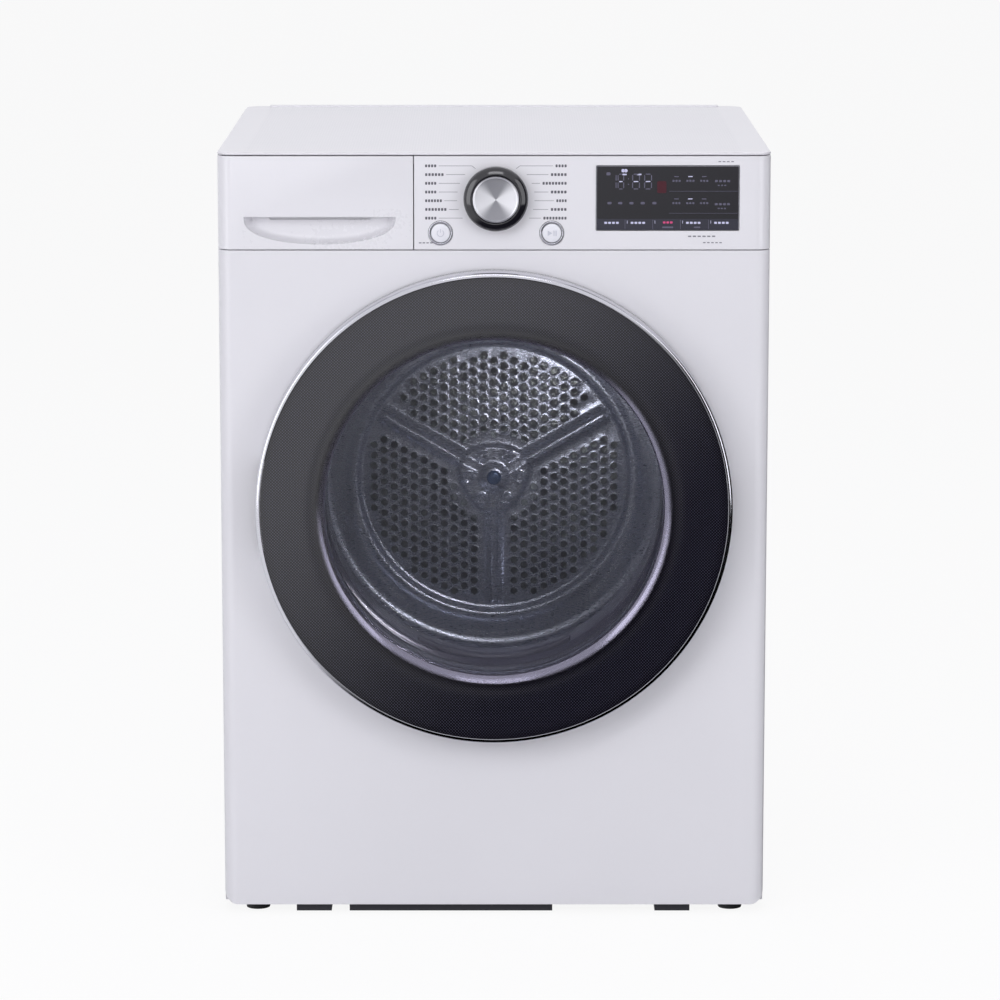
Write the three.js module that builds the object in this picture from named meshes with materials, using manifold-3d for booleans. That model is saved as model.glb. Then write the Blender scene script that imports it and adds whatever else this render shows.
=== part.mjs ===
// A free-standing heat-pump clothes dryer with a round door, a program knob and a water tank drawer.
// Millimetres. +Z is up, the front faces -Y and +X is to the right of somebody facing it.
// The origin is on the floor, under the middle of the machine.
import * as THREE from 'three';
import { mergeVertices } from 'three/addons/utils/BufferGeometryUtils.js';
import Module from 'manifold-3d';

const wasm = await Module();
wasm.setup();

// ---------------------------------------------------------------- driving sizes

// The machine as a whole
const WIDTH = 600;
const HEIGHT = 850;
const DEPTH = 660;
const DOOR_PROUD = 45;
const DUCT_COVER_PROUD = 15;
const FOOT_HEIGHT = 10;

// Walls and fits
const SHEET = 1.5;
const MOULDING = 2.5;
const SEAM = 1;
const FIT = 0.3;
const RUNNING_FIT = 0.5;

// Cabinet
const CORNER_RADIUS = 16;
const LOWER_CORNER_RADIUS = 15;
const FRONT_RETURN = 20;
const FLANGE = 8;
const TRIM_RISE = 1.5;
const TRIM_DEPTH = 15;
const TRIM_INSET = 28;
const WORKTOP_LIP = 3;
const WORKTOP_REAR_RADIUS = 20;
const WORKTOP_SKIRT = 11;
const DUCT_RADIUS = 150;
const REAR_DUCT_INSET = 50;
const REAR_DUCT_WIDTH = 160;
const REAR_DUCT_BOTTOM = 60;
const REAR_DUCT_TOP = 150;
const REAR_ARM_WIDTH = 30;
const COVER_SLOPE = 18;
const COVER_LIP = 12;
const GLAND_INSET = 60;
const GLAND_Z = 62;
const GLAND_RADIUS = 10;
const GLAND_BORE = 4.5;

// Control strip
const CONTROL_HEIGHT = 101.5;
const DRAWER_SPLIT = 213;
const KNOB_X = 2;
const KNOB_Z = 56;
const KNOB_RADIUS = 35;
const KNOB_CAP_RADIUS = 25;
const KNOB_PROUD = 20;
const ENCODER_SHAFT_RADIUS = 3;
const BUTTON_Z = 18;
const BUTTON_RADIUS = 10.5;
const BEZEL_WIDTH = 2.2;
const BUTTONS = [['power', -58], ['start', 62.6]];
const WINDOW_WIDTH = 155;
const WINDOW_HEIGHT = 70.5;
const WINDOW_X = 188;
const WINDOW_Z = 56;
const BOARD_THICKNESS = 1.6;
const RELAY_WIDTH = 18;
const RELAY_HEIGHT = 22;
const RELAY_DEPTH = 15;
const RELAYS = 4;
const RELAY_PITCH = 30;

// Water tank and its tunnel
const TANK_LENGTH = 446;
const TANK_WALL = 2.5;
const TUNNEL_WALL = 2;
const TANK_PLAY = 2.5;
const SCOOP_WIDTH = 165;
const SCOOP_HEIGHT = 30;
const SCOOP_DEPTH = 14;
const SCOOP_SILL = 5.5;
const GRIP_SLOT_WIDTH = 110;
const FILLER_WIDTH = 70;

// Door
const DOOR_Z = 462;
const DOOR_RADIUS = 260;
const DOOR_GAP = 3;
const RIM_WALL = 3;
const RIM_LIP = 5;
const COVER_DOME = 8;
const COVER_THICKNESS = 4;
const BOWL_CLEARANCE = 10;
const BOWL_DEPTH = 59;
const GLASS = 4;
const HINGE_INSET = 10;
const HINGE_STAND = 24;
const HINGE_LEAN = 145;
const HINGE_PIN_RADIUS = 3;
const HINGE_HEIGHT = 58;
const HINGE_ARM_THICKNESS = 6;
const STRIKE_INSET = 35;
const STRIKE_SLOT_WIDTH = 22;
const STRIKE_SLOT_HEIGHT = 24;
const GRIP_HEIGHT = 100;
const GRIP_DEPTH = 22;

// Loading opening and lint filter
const COLLAR_RADIUS = 187;
const COLLAR_WALL = 3;
const BULKHEAD_SETBACK = 125;
const BULKHEAD_THICKNESS = 3;
const FILTER_WIDTH = 170;
const FILTER_THICKNESS = 24;
const FILTER_HEIGHT = 110;
const FILTER_SETBACK = 87;
const DUCT_WALL = 3;
const DUCT_RISE = 30;
const DUCT_FOOT_HEIGHT = 92;
const AIR_WAY_INSET = 38;
const AIR_WAY_WIDTH = 184;

// Drum
const DRUM_Z = 400;
const DRUM_RADIUS = 276;
const DRUM_LIP = 36;
const DRUM_SEAL_GAP = 11;
const BACK_DISC_RADIUS = 157;
const HUB_RADIUS = 36;
const HUB_RISE = 14;
const BACK_HOLE_RADIUS = 6;
const BACK_HOLE_RINGS = [[90, 6], [128, 12]];
const LIFTER_HEIGHT = 68;
const LIFTER_HALF_WIDTH = 36;
const SHAFT_RADIUS = 10;
const BEARING_LENGTH = 27;
const BEARING_RADIUS = 40;
const ROLLER_RADIUS = 30;
const ROLLER_WIDTH = 22;
const ROLLER_ANGLE = 35;
const AXLE_RADIUS = 5;

// Drive
const MOTOR_INSET = 110;
const MOTOR_Z = 85;
const MOTOR_RADIUS = 48;
const MOTOR_FRONT = -30;
const MOTOR_LENGTH = 108;
const MOTOR_SHAFT_RADIUS = 8;
const PULLEY_RADIUS = 12;
const BELT_Y = 100;
const BELT_WIDTH = 12;
const BELT_THICKNESS = 1.6;
const IDLER_REACH = 70;
const IDLER_Z = 89;
const IDLER_RADIUS = 14;
const IDLER_ARM_RUN = 40;
const IDLER_PIVOT_Z = 40;
const IDLER_PIN_RADIUS = 4;
const FAN_RADIUS = 56;
const FAN_DEPTH = 40;
const FAN_BLADES = 12;
const FAN_HOUSING_WALL = 2;

// Base and heat pump
const TRAY_FLOOR = 4;
const TRAY_WALL_HEIGHT = 26;
const SKID_CLEARANCE = 1;
const FOOT_RADIUS = 15;
const FOOT_STEM_RADIUS = 5;
const FOOT_STEM = 22;
const FOOT_BOSS_RADIUS = 12;
const FOOT_BOSS_HEIGHT = 18;
const FOOT_INSET = 36;
const FOOT_FRONT = 30;
const FOOT_REAR = 35;
const SKID_SETBACK = 7;
const SKIDS = [[-220, 39, 43], [179, 39, 43], [-161, 226, 78]];
const COIL_INSET = 32;
const COIL_WIDTH = 200;
const COIL_HEIGHT = 96;
const COIL_FINS = 9;
const COIL_HEADER_RADIUS = 5;
const COIL_HEADERS = [30, 70];
const COILS = [['evaporator', 25, 100], ['condenser', 145, 90]];
const COMPRESSOR_INSET = 100;
const COMPRESSOR_RADIUS = 58;
const COMPRESSOR_HEIGHT = 128;
const COMPRESSOR_FOOT_RADIUS = 11;
const PUMP_X = 20;
const PUMP_SETBACK = 80;
const PUMP_RADIUS = 26;
const PUMP_MOTOR_RADIUS = 18;
const PUMP_HEIGHT = 36;
const PUMP_SPOUT_RADIUS = 6;

// Roundness: flats round a large, a middle and a small circle
const LARGE = 40;
const MIDDLE = 20;
const SMALL = 12;

// ---------------------------------------------------------------- places worked out from them

const HALF_WIDTH = WIDTH / 2;
const INNER_HALF = HALF_WIDTH - SHEET;
const FRONT = -DEPTH / 2 + DOOR_PROUD;
const REAR = DEPTH / 2 - DUCT_COVER_PROUD;
const WORKTOP = HEIGHT - TRIM_RISE;
const CONTROL_TOP = WORKTOP - WORKTOP_LIP - SEAM;
const CONTROL_BOTTOM = CONTROL_TOP - CONTROL_HEIGHT;
const PANEL_TOP = CONTROL_BOTTOM - SEAM;
const RETURN_EDGE = FRONT + FRONT_RETURN;
const SIDE_FRONT = RETURN_EDGE + SEAM;
const REAR_PANEL_BACK = REAR - SHEET - FIT;
const REAR_PANEL_FRONT = REAR_PANEL_BACK - SHEET;
const TRAY_TOP = FOOT_HEIGHT + TRAY_FLOOR;
const SPLIT_X = -HALF_WIDTH + DRAWER_SPLIT;
const BOARD_FRONT = RETURN_EDGE + 3;
const BULKHEAD = FRONT + BULKHEAD_SETBACK;
const BULKHEAD_BACK = BULKHEAD + BULKHEAD_THICKNESS;
const DRUM_FRONT = BULKHEAD_BACK + DRUM_SEAL_GAP;
const BEARING_FRONT = REAR_PANEL_FRONT - FIT - BEARING_LENGTH;
const DRUM_REAR = BEARING_FRONT - 18;
const DOOR_FRONT = FRONT - DOOR_PROUD;
const DOOR_BACK = FRONT - DOOR_GAP;
const RIM_FRONT = DOOR_FRONT + COVER_DOME;
const HINGE_X = DOOR_RADIUS - HINGE_INSET;
const HINGE_Y = FRONT - HINGE_STAND;
const PANEL_HOLE_RADIUS = COLLAR_RADIUS + 9;
const BOWL_RADIUS = COLLAR_RADIUS - BOWL_CLEARANCE;
const STRIKE_X = STRIKE_INSET - DOOR_RADIUS;
const FOOT_X = HALF_WIDTH - FOOT_INSET;
const MOTOR_X = HALF_WIDTH - MOTOR_INSET;
const IDLER_X = MOTOR_X - IDLER_REACH;
const IDLER_PIVOT_X = IDLER_X - IDLER_ARM_RUN;
const REAR_DUCT_LEFT = -HALF_WIDTH + REAR_DUCT_INSET;
const REAR_DUCT_RIGHT = REAR_DUCT_LEFT + REAR_DUCT_WIDTH;
const AIR_WAY_LEFT = -HALF_WIDTH + AIR_WAY_INSET;
const AIR_WAY_RIGHT = AIR_WAY_LEFT + AIR_WAY_WIDTH;

// ---------------------------------------------------------------- making solids

// A closed geometry as a solid: shared corners joined, slivers dropped, faces turned outward.
function solid(geometry) {
  const bare = geometry.index ? geometry.toNonIndexed() : geometry;
  bare.deleteAttribute('normal');
  bare.deleteAttribute('uv');
  const joined = mergeVertices(bare);
  const at = joined.attributes.position.array;
  const corners = joined.index.array;
  const faces = [];
  let volume = 0;
  for (let i = 0; i < corners.length; i += 3) {
    const [a, b, c] = corners.slice(i, i + 3);
    if (a === b || b === c || c === a) continue;
    faces.push([a, b, c]);
    const [p, q, r] = [a, b, c].map((corner) => new THREE.Vector3().fromArray(at, 3 * corner));
    volume += p.dot(q.cross(r));
  }
  const outward = volume > 0 ? faces : faces.map(([a, b, c]) => [a, c, b]);
  return new wasm.Manifold(new wasm.Mesh({
    numProp: 3,
    vertProperties: Float32Array.from(at),
    triVerts: Uint32Array.from(outward.flat()),
  }));
}

function join(first, ...others) {
  return others.reduce((whole, next) => whole.add(next), first);
}

function cut(first, ...others) {
  return others.reduce((whole, next) => whole.subtract(next), first);
}

// A box between two values along each axis, given in either order.
function block(xa, xb, ya, yb, za, zb) {
  const box = new THREE.BoxGeometry(Math.abs(xb - xa), Math.abs(yb - ya), Math.abs(zb - za));
  box.translate((xa + xb) / 2, (ya + yb) / 2, (za + zb) / 2);
  return solid(box);
}

// A round bar along Y.
function bar(radius, ya, yb, x = 0, z = 0, flats = SMALL) {
  const round = new THREE.CylinderGeometry(radius, radius, Math.abs(yb - ya), flats);
  round.translate(x, (ya + yb) / 2, z);
  return solid(round);
}

// A round post along Z.
function post(radius, za, zb, x = 0, y = 0, flats = SMALL) {
  const round = new THREE.CylinderGeometry(radius, radius, Math.abs(zb - za), flats);
  round.rotateX(Math.PI / 2);
  round.translate(x, y, (za + zb) / 2);
  return solid(round);
}

// A [radius, y] outline turned about the Y axis, then placed at x and z.
function turned(outline, flats = MIDDLE, x = 0, z = 0) {
  const points = [...outline, outline[0]].map(([radius, y]) => new THREE.Vector2(radius, y));
  const lathe = new THREE.LatheGeometry(points, flats);
  lathe.translate(x, 0, z);
  return solid(lathe);
}

// A shape drawn in X and Z, as thick as ya to yb.
function slab(shape, ya, yb) {
  const sheet = new THREE.ExtrudeGeometry(shape, { depth: yb - ya, bevelEnabled: false, curveSegments: 5 });
  sheet.rotateX(Math.PI / 2);
  sheet.translate(0, yb, 0);
  return solid(sheet);
}

// A shape drawn in X and Y, as tall as za to zb.
function column(shape, za, zb) {
  const sheet = new THREE.ExtrudeGeometry(shape, { depth: zb - za, bevelEnabled: false, curveSegments: 4 });
  sheet.translate(0, 0, za);
  return solid(sheet);
}

function polygon(points) {
  return new THREE.Shape(points.map(([a, b]) => new THREE.Vector2(a, b)));
}

// A rectangle with one radius at its two low corners and another at its two high ones.
function rounded(xa, xb, ya, yb, low, high) {
  const shape = new THREE.Shape();
  const quarter = Math.PI / 2;
  shape.moveTo(xa + low, ya);
  shape.lineTo(xb - low, ya);
  if (low > 0) shape.absarc(xb - low, ya + low, low, -quarter, 0);
  shape.lineTo(xb, yb - high);
  if (high > 0) shape.absarc(xb - high, yb - high, high, 0, quarter);
  shape.lineTo(xa + high, yb);
  if (high > 0) shape.absarc(xa + high, yb - high, high, quarter, 2 * quarter);
  shape.lineTo(xa, ya + low);
  if (low > 0) shape.absarc(xa + low, ya + low, low, 2 * quarter, 3 * quarter);
  return shape;
}

const radians = (degrees) => degrees * Math.PI / 180;

// ---------------------------------------------------------------- finishes

function finish(color, roughness, metalness, extra = {}) {
  return () => new THREE.MeshStandardMaterial({ color, roughness, metalness, ...extra });
}

const paint = finish('#e4e3e8', 0.4, 0.05);
const moulding = finish('#e6e5ea', 0.45, 0);
const blackGloss = finish('#1b1a20', 0.12, 0);
const tintedGlass = finish('#26242c', 0.08, 0, { transparent: true, opacity: 0.55 });
const clearGlass = finish('#8d949c', 0.05, 0, { transparent: true, opacity: 0.35 });
const chrome = finish('#d5d6da', 0.15, 1);
const brushed = finish('#b9babf', 0.3, 1);
const stainless = finish('#b4b8bb', 0.28, 1);
const zinc = finish('#a7abad', 0.45, 0.9);
const castMetal = finish('#7c8084', 0.5, 0.8);
const darkPlastic = finish('#2c2c31', 0.55, 0);
const greyPlastic = finish('#8d8f96', 0.55, 0);
const rubber = finish('#17171a', 0.85, 0);
const felt = finish('#5d5f63', 0.95, 0);
const blackPaint = finish('#202125', 0.5, 0.2);
const finStock = finish('#c3c7c9', 0.4, 0.9);
const circuitBoard = finish('#1f5a3c', 0.6, 0);
const filterMesh = finish('#4b6f9c', 0.6, 0);

const dryer = new THREE.Group();

// Adds one named piece to a group.
function piece(group, name, body, material) {
  const { vertProperties, triVerts } = body.getMesh();
  const geometry = new THREE.BufferGeometry();
  geometry.setAttribute('position', new THREE.BufferAttribute(vertProperties, 3));
  geometry.setIndex(new THREE.BufferAttribute(triVerts, 1));
  geometry.computeVertexNormals();
  const mesh = new THREE.Mesh(geometry, material());
  mesh.name = name;
  group.add(mesh);
  return mesh;
}

// A group inside the dryer whose own origin is at x, y, z.
function station(x, y, z) {
  const group = new THREE.Group();
  group.position.set(x, y, z);
  dryer.add(group);
  return group;
}

// ---------------------------------------------------------------- base tray and feet

const TRAY_HALF = INNER_HALF - RUNNING_FIT;
const TRAY_FRONT = SIDE_FRONT + SHEET + FIT;
const TRAY_BACK = REAR_PANEL_FRONT - FIT;
const FOOT_PLACES = [
  ['foot_front_left', -FOOT_X, FRONT + FOOT_FRONT],
  ['foot_front_right', FOOT_X, FRONT + FOOT_FRONT],
  ['foot_rear_left', -FOOT_X, REAR - FOOT_REAR],
  ['foot_rear_right', FOOT_X, REAR - FOOT_REAR],
];

// A rib under the tray that reaches forward below the front panel's lower fold.
function skid(left, width, length) {
  const front = FRONT + SKID_SETBACK;
  const under = block(left, left + width, front, front + length, SKID_CLEARANCE, FOOT_HEIGHT - FIT);
  const root = block(left, left + width, TRAY_FRONT, front + length, SKID_CLEARANCE, FOOT_HEIGHT + 1);
  return under.add(root);
}

function idlerPost() {
  const back = BELT_Y + BELT_WIDTH / 2 + 18;
  const pillar = block(IDLER_PIVOT_X - 8, IDLER_PIVOT_X + 8, back - 8, back, TRAY_TOP - 1, IDLER_PIVOT_Z + 9);
  return pillar.subtract(
    bar(IDLER_PIN_RADIUS + RUNNING_FIT, back - 9, back + 1, IDLER_PIVOT_X, IDLER_PIVOT_Z),
  );
}

function baseTray() {
  const wall = TRAY_TOP + TRAY_WALL_HEIGHT;
  const outer = block(-TRAY_HALF, TRAY_HALF, TRAY_FRONT, TRAY_BACK, FOOT_HEIGHT, wall);
  const inner = block(
    -TRAY_HALF + MOULDING, TRAY_HALF - MOULDING,
    TRAY_FRONT + MOULDING, TRAY_BACK - MOULDING, TRAY_TOP, wall + 1,
  );
  const bossTop = TRAY_TOP + FOOT_BOSS_HEIGHT;
  const bosses = FOOT_PLACES.map(([, x, y]) => post(FOOT_BOSS_RADIUS, TRAY_TOP - 1, bossTop, x, y));
  const holes = FOOT_PLACES.map(([, x, y]) => (
    post(FOOT_STEM_RADIUS + RUNNING_FIT, FOOT_HEIGHT - 1, bossTop + 1, x, y)
  ));
  const skids = SKIDS.map((sizes) => skid(...sizes));
  return cut(join(cut(outer, inner), ...bosses, ...skids, idlerPost()), ...holes);
}

piece(dryer, 'base_tray', baseTray(), darkPlastic);

for (const [name, x, y] of FOOT_PLACES) {
  const rim = FOOT_HEIGHT - FIT;
  const pad = solid(new THREE.CylinderGeometry(FOOT_RADIUS, FOOT_RADIUS - 2, rim, MIDDLE)
    .rotateX(Math.PI / 2).translate(0, 0, rim / 2));
  const foot = piece(dryer, name, join(pad, post(FOOT_STEM_RADIUS, rim - 1, rim + FOOT_STEM)), rubber);
  foot.position.set(x, y, 0);
}

// ---------------------------------------------------------------- cabinet

for (const [name, side] of [['side_panel_left', -1], ['side_panel_right', 1]]) {
  const section = [
    [HALF_WIDTH, SIDE_FRONT], [HALF_WIDTH, REAR], [INNER_HALF - FLANGE, REAR],
    [INNER_HALF - FLANGE, REAR - SHEET], [INNER_HALF, REAR - SHEET], [INNER_HALF, SIDE_FRONT + SHEET],
    [INNER_HALF - FLANGE, SIDE_FRONT + SHEET], [INNER_HALF - FLANGE, SIDE_FRONT],
  ].map(([x, y]) => [side * x, y]);
  piece(dryer, name, column(polygon(section), FOOT_HEIGHT, CONTROL_TOP), paint);
}

// The outline seen from above of a front piece. Where it reaches the cabinet's side, its corner
// is round and it turns back to the side panel. Everything is moved inward by inset.
function frontOutline(xa, xb, back, inset) {
  const shape = new THREE.Shape();
  const left = xa === -HALF_WIDTH ? CORNER_RADIUS : inset;
  const right = xb === HALF_WIDTH ? CORNER_RADIUS : inset;
  shape.moveTo(xb - inset, back);
  shape.lineTo(xa + inset, back);
  shape.lineTo(xa + inset, FRONT + left);
  if (left > inset) {
    shape.absarc(xa + left, FRONT + left, left - inset, Math.PI, 1.5 * Math.PI);
  }
  shape.lineTo(xb - right, FRONT + inset);
  if (right > inset) {
    shape.absarc(xb - right, FRONT + right, right - inset, 1.5 * Math.PI, 2 * Math.PI);
  }
  return shape;
}

// A front piece as a shell, open at the back, with rounded lower corners where low is not 0.
function frontShell(xa, xb, za, zb, wall, low = 0) {
  const outer = column(frontOutline(xa, xb, RETURN_EDGE, 0), za, zb)
    .intersect(slab(rounded(xa, xb, za, zb, low, 0), FRONT - 1, RETURN_EDGE + 1));
  const hollow = column(frontOutline(xa, xb, RETURN_EDGE + 1, wall), za + wall, zb - wall)
    .intersect(slab(
      rounded(xa + wall, xb - wall, za + wall, zb - wall, Math.max(low - wall, 0), 0),
      FRONT, RETURN_EDGE + 2,
    ));
  return outer.subtract(hollow);
}

// The slot that the door's strike passes through, between two depths.
function strikeSlot(ya, yb, z) {
  return block(
    STRIKE_X - STRIKE_SLOT_WIDTH / 2, STRIKE_X + STRIKE_SLOT_WIDTH / 2, ya, yb,
    z - STRIKE_SLOT_HEIGHT / 2, z + STRIKE_SLOT_HEIGHT / 2,
  );
}

function frontPanel() {
  const shell = frontShell(
    -HALF_WIDTH, HALF_WIDTH, FOOT_HEIGHT, PANEL_TOP, SHEET, LOWER_CORNER_RADIUS,
  );
  return cut(
    shell,
    bar(PANEL_HOLE_RADIUS, FRONT - 1, RETURN_EDGE, 0, DOOR_Z, LARGE),
    strikeSlot(FRONT - 1, FRONT + 5, DOOR_Z),
  );
}

piece(dryer, 'front_panel', frontPanel(), paint);

function topPlate() {
  const outline = rounded(-HALF_WIDTH, HALF_WIDTH, FRONT, REAR, CORNER_RADIUS, WORKTOP_REAR_RADIUS);
  const sheet = column(outline, WORKTOP - WORKTOP_LIP, WORKTOP);
  const trimHalf = HALF_WIDTH - TRIM_INSET;
  const trim = block(-trimHalf, trimHalf, REAR - TRIM_DEPTH, REAR, WORKTOP - 1, HEIGHT);
  const low = CONTROL_TOP - WORKTOP_SKIRT;
  const skirtHalf = INNER_HALF - RUNNING_FIT;
  const skirt = block(-skirtHalf, skirtHalf, TRAY_FRONT, TRAY_BACK, low, WORKTOP - 1)
    .subtract(block(
      -skirtHalf + MOULDING, skirtHalf - MOULDING,
      TRAY_FRONT + MOULDING, TRAY_BACK - MOULDING, low - 1, WORKTOP - WORKTOP_LIP,
    ));
  return join(sheet, trim, skirt);
}

piece(dryer, 'top_plate', topPlate(), paint);

// The rear panel has three windows round the drum bearing and one low window for the heat pump.
function rearPanel() {
  const panelHalf = INNER_HALF - FIT;
  const sheet = block(
    -panelHalf, panelHalf, REAR_PANEL_FRONT, REAR_PANEL_BACK, FOOT_HEIGHT, CONTROL_TOP - FIT,
  );
  const ring = bar(DUCT_RADIUS, REAR_PANEL_FRONT - 1, REAR_PANEL_BACK + 1, 0, DRUM_Z, LARGE);
  const hub = bar(BEARING_RADIUS + 6, REAR_PANEL_FRONT - 2, REAR_PANEL_BACK + 2, 0, DRUM_Z);
  const arms = [90, 210, 330].map((angle) => {
    const arm = new THREE.BoxGeometry(DUCT_RADIUS + 10, 3 * SHEET, REAR_ARM_WIDTH);
    arm.translate(DUCT_RADIUS / 2, 0, 0);
    arm.rotateY(radians(angle));
    arm.translate(0, REAR_PANEL_BACK - SHEET / 2, DRUM_Z);
    return solid(arm);
  });
  const low = block(
    REAR_DUCT_LEFT, REAR_DUCT_RIGHT, REAR_PANEL_FRONT - 1, REAR_PANEL_BACK + 1,
    REAR_DUCT_BOTTOM, REAR_DUCT_TOP,
  );
  return cut(sheet, cut(ring, hub, ...arms), low);
}

piece(dryer, 'rear_panel', rearPanel(), zinc);

function rearDuctCover() {
  const front = REAR_PANEL_BACK + FIT;
  const back = DEPTH / 2;
  const layer = (grow, ya, yb) => join(
    bar(DUCT_RADIUS + grow, ya, yb, 0, DRUM_Z, LARGE),
    block(
      REAR_DUCT_LEFT - grow, REAR_DUCT_RIGHT + grow, ya, yb, REAR_DUCT_BOTTOM - grow, DRUM_Z,
    ),
  );
  const lip = layer(COVER_SLOPE + COVER_LIP, front, front + SHEET);
  const inside = layer(COVER_SLOPE - SHEET, front - 1, back - SHEET);
  return cut(join(lip, layer(COVER_SLOPE, front, back)), inside);
}

piece(dryer, 'rear_duct_cover', rearDuctCover(), zinc);

// The inlet takes the mains lead; only its socket is part of the machine.
function inletGland() {
  const x = HALF_WIDTH - GLAND_INSET;
  const front = REAR_PANEL_BACK + FIT;
  const body = join(
    block(
      x - 2 * GLAND_RADIUS, x + 2 * GLAND_RADIUS, front, front + 4,
      GLAND_Z - 1.6 * GLAND_RADIUS, GLAND_Z + 1.6 * GLAND_RADIUS,
    ),
    bar(GLAND_RADIUS, front, front + 11, x, GLAND_Z),
  );
  return body.subtract(bar(GLAND_BORE, front + 2, front + 12, x, GLAND_Z));
}

piece(dryer, 'power_inlet_gland', inletGland(), darkPlastic);

// ---------------------------------------------------------------- control strip

const knobZ = CONTROL_BOTTOM + KNOB_Z;
const buttonZ = CONTROL_BOTTOM + BUTTON_Z;
const windowZ = CONTROL_BOTTOM + WINDOW_Z;
const bezelRadius = BUTTON_RADIUS + RUNNING_FIT + BEZEL_WIDTH;

function displayBlock(grow, ya, yb) {
  return block(
    WINDOW_X - WINDOW_WIDTH / 2 - grow, WINDOW_X + WINDOW_WIDTH / 2 + grow, ya, yb,
    windowZ - WINDOW_HEIGHT / 2 - grow, windowZ + WINDOW_HEIGHT / 2 + grow,
  );
}

const fascia = frontShell(SPLIT_X + SEAM / 2, HALF_WIDTH, CONTROL_BOTTOM, CONTROL_TOP, MOULDING);
piece(dryer, 'control_fascia', cut(
  fascia,
  displayBlock(FIT, FRONT - 1, FRONT + MOULDING + 1),
  bar(KNOB_CAP_RADIUS / 2, FRONT - 1, FRONT + MOULDING + 1, KNOB_X, knobZ),
  ...BUTTONS.map(([, x]) => (
    bar(bezelRadius + FIT, FRONT - 1, FRONT + MOULDING + 1, x, buttonZ, 24)
  )),
), moulding);
piece(dryer, 'display_window', displayBlock(0, FRONT, FRONT + 4), blackGloss);

function controlBoard() {
  const back = BOARD_FRONT + BOARD_THICKNESS;
  const left = SPLIT_X + 12;
  const right = HALF_WIDTH - 10;
  const top = CONTROL_TOP - WORKTOP_SKIRT - 3;
  const sheet = block(left, right, BOARD_FRONT, back, CONTROL_BOTTOM + 8, top);
  const relays = Array.from({ length: RELAYS }, (_, i) => {
    const start = right - 180 + i * RELAY_PITCH;
    return block(start, start + RELAY_WIDTH, back - 1, back + RELAY_DEPTH, windowZ, windowZ + RELAY_HEIGHT);
  });
  return join(sheet, ...relays);
}

piece(dryer, 'control_board', controlBoard(), circuitBoard);

const ENCODER_TIP = FRONT - KNOB_PROUD + 7;
piece(dryer, 'knob_encoder', join(
  block(KNOB_X - 8, KNOB_X + 8, BOARD_FRONT - 10, BOARD_FRONT - FIT, knobZ - 8, knobZ + 8),
  bar(ENCODER_SHAFT_RADIUS, ENCODER_TIP, BOARD_FRONT - 9, KNOB_X, knobZ),
), castMetal);

// The knob is a gloss black ring pressed round a turned metal cap.
const knob = station(KNOB_X, FRONT, knobZ);
piece(knob, 'knob_ring', turned([
  [KNOB_CAP_RADIUS + FIT, -SEAM], [KNOB_RADIUS - 1, -SEAM], [KNOB_RADIUS, -2 * SEAM],
  [KNOB_RADIUS, -KNOB_PROUD + 8], [KNOB_RADIUS - 2, -KNOB_PROUD + 5],
  [KNOB_CAP_RADIUS + 2, -KNOB_PROUD + 2], [KNOB_CAP_RADIUS + FIT, -KNOB_PROUD + 3],
]), blackGloss);
piece(knob, 'knob_cap', cut(turned([
  [0, -SEAM], [KNOB_CAP_RADIUS, -SEAM], [KNOB_CAP_RADIUS, -KNOB_PROUD + 1],
  [KNOB_CAP_RADIUS - 1.5, -KNOB_PROUD], [0, -KNOB_PROUD + 1.2],
]), bar(ENCODER_SHAFT_RADIUS + RUNNING_FIT, ENCODER_TIP - FRONT - RUNNING_FIT, 0)), brushed);

for (const [name, x] of BUTTONS) {
  const button = station(x, FRONT, buttonZ);
  piece(button, `${name}_button_ring`, turned([
    [BUTTON_RADIUS + RUNNING_FIT, -1], [bezelRadius, -1], [bezelRadius, MOULDING + 1],
    [BUTTON_RADIUS + RUNNING_FIT, MOULDING + 1],
  ]), chrome);
  piece(button, `${name}_button`, turned([
    [0, -1.6], [BUTTON_RADIUS - 1.5, -1.6], [BUTTON_RADIUS, -0.8], [BUTTON_RADIUS, 10], [4, 10], [4, 15],
    [0, 15],
  ]), moulding);
}

// ---------------------------------------------------------------- water tank drawer

const TUNNEL = {
  left: -INNER_HALF + FLANGE - 2.5, right: SPLIT_X - 2,
  bottom: CONTROL_BOTTOM + 1, top: CONTROL_TOP - WORKTOP_SKIRT - 1.5,
};

// A box inside the tunnel's outside, moved inward by inset.
function tunnelBox(inset, ya, yb) {
  return block(
    TUNNEL.left + inset, TUNNEL.right - inset, ya, yb, TUNNEL.bottom + inset, TUNNEL.top - inset,
  );
}

const TANK_FRONT = RETURN_EDGE + FIT;
const TANK_BACK = TANK_FRONT + TANK_LENGTH;
const TUNNEL_FRONT = RETURN_EDGE + 6;
const tankInset = TUNNEL_WALL + TANK_PLAY;
piece(dryer, 'tank_guide', cut(
  tunnelBox(0, TUNNEL_FRONT, TANK_BACK + RUNNING_FIT + TUNNEL_WALL),
  tunnelBox(TUNNEL_WALL, TUNNEL_FRONT - 1, TANK_BACK + RUNNING_FIT),
), greyPlastic);

const fillerRight = SPLIT_X - 40;
const fillerBack = TANK_BACK - 20;
const filler = block(
  fillerRight - FILLER_WIDTH, fillerRight, fillerBack - FILLER_WIDTH, fillerBack,
  TUNNEL.top - 20, TUNNEL.top,
);
piece(dryer, 'tank_body', cut(
  tunnelBox(tankInset, TANK_FRONT, TANK_BACK),
  tunnelBox(tankInset + TANK_WALL, TANK_FRONT + TANK_WALL, TANK_BACK - TANK_WALL),
  filler,
), greyPlastic);

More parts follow.
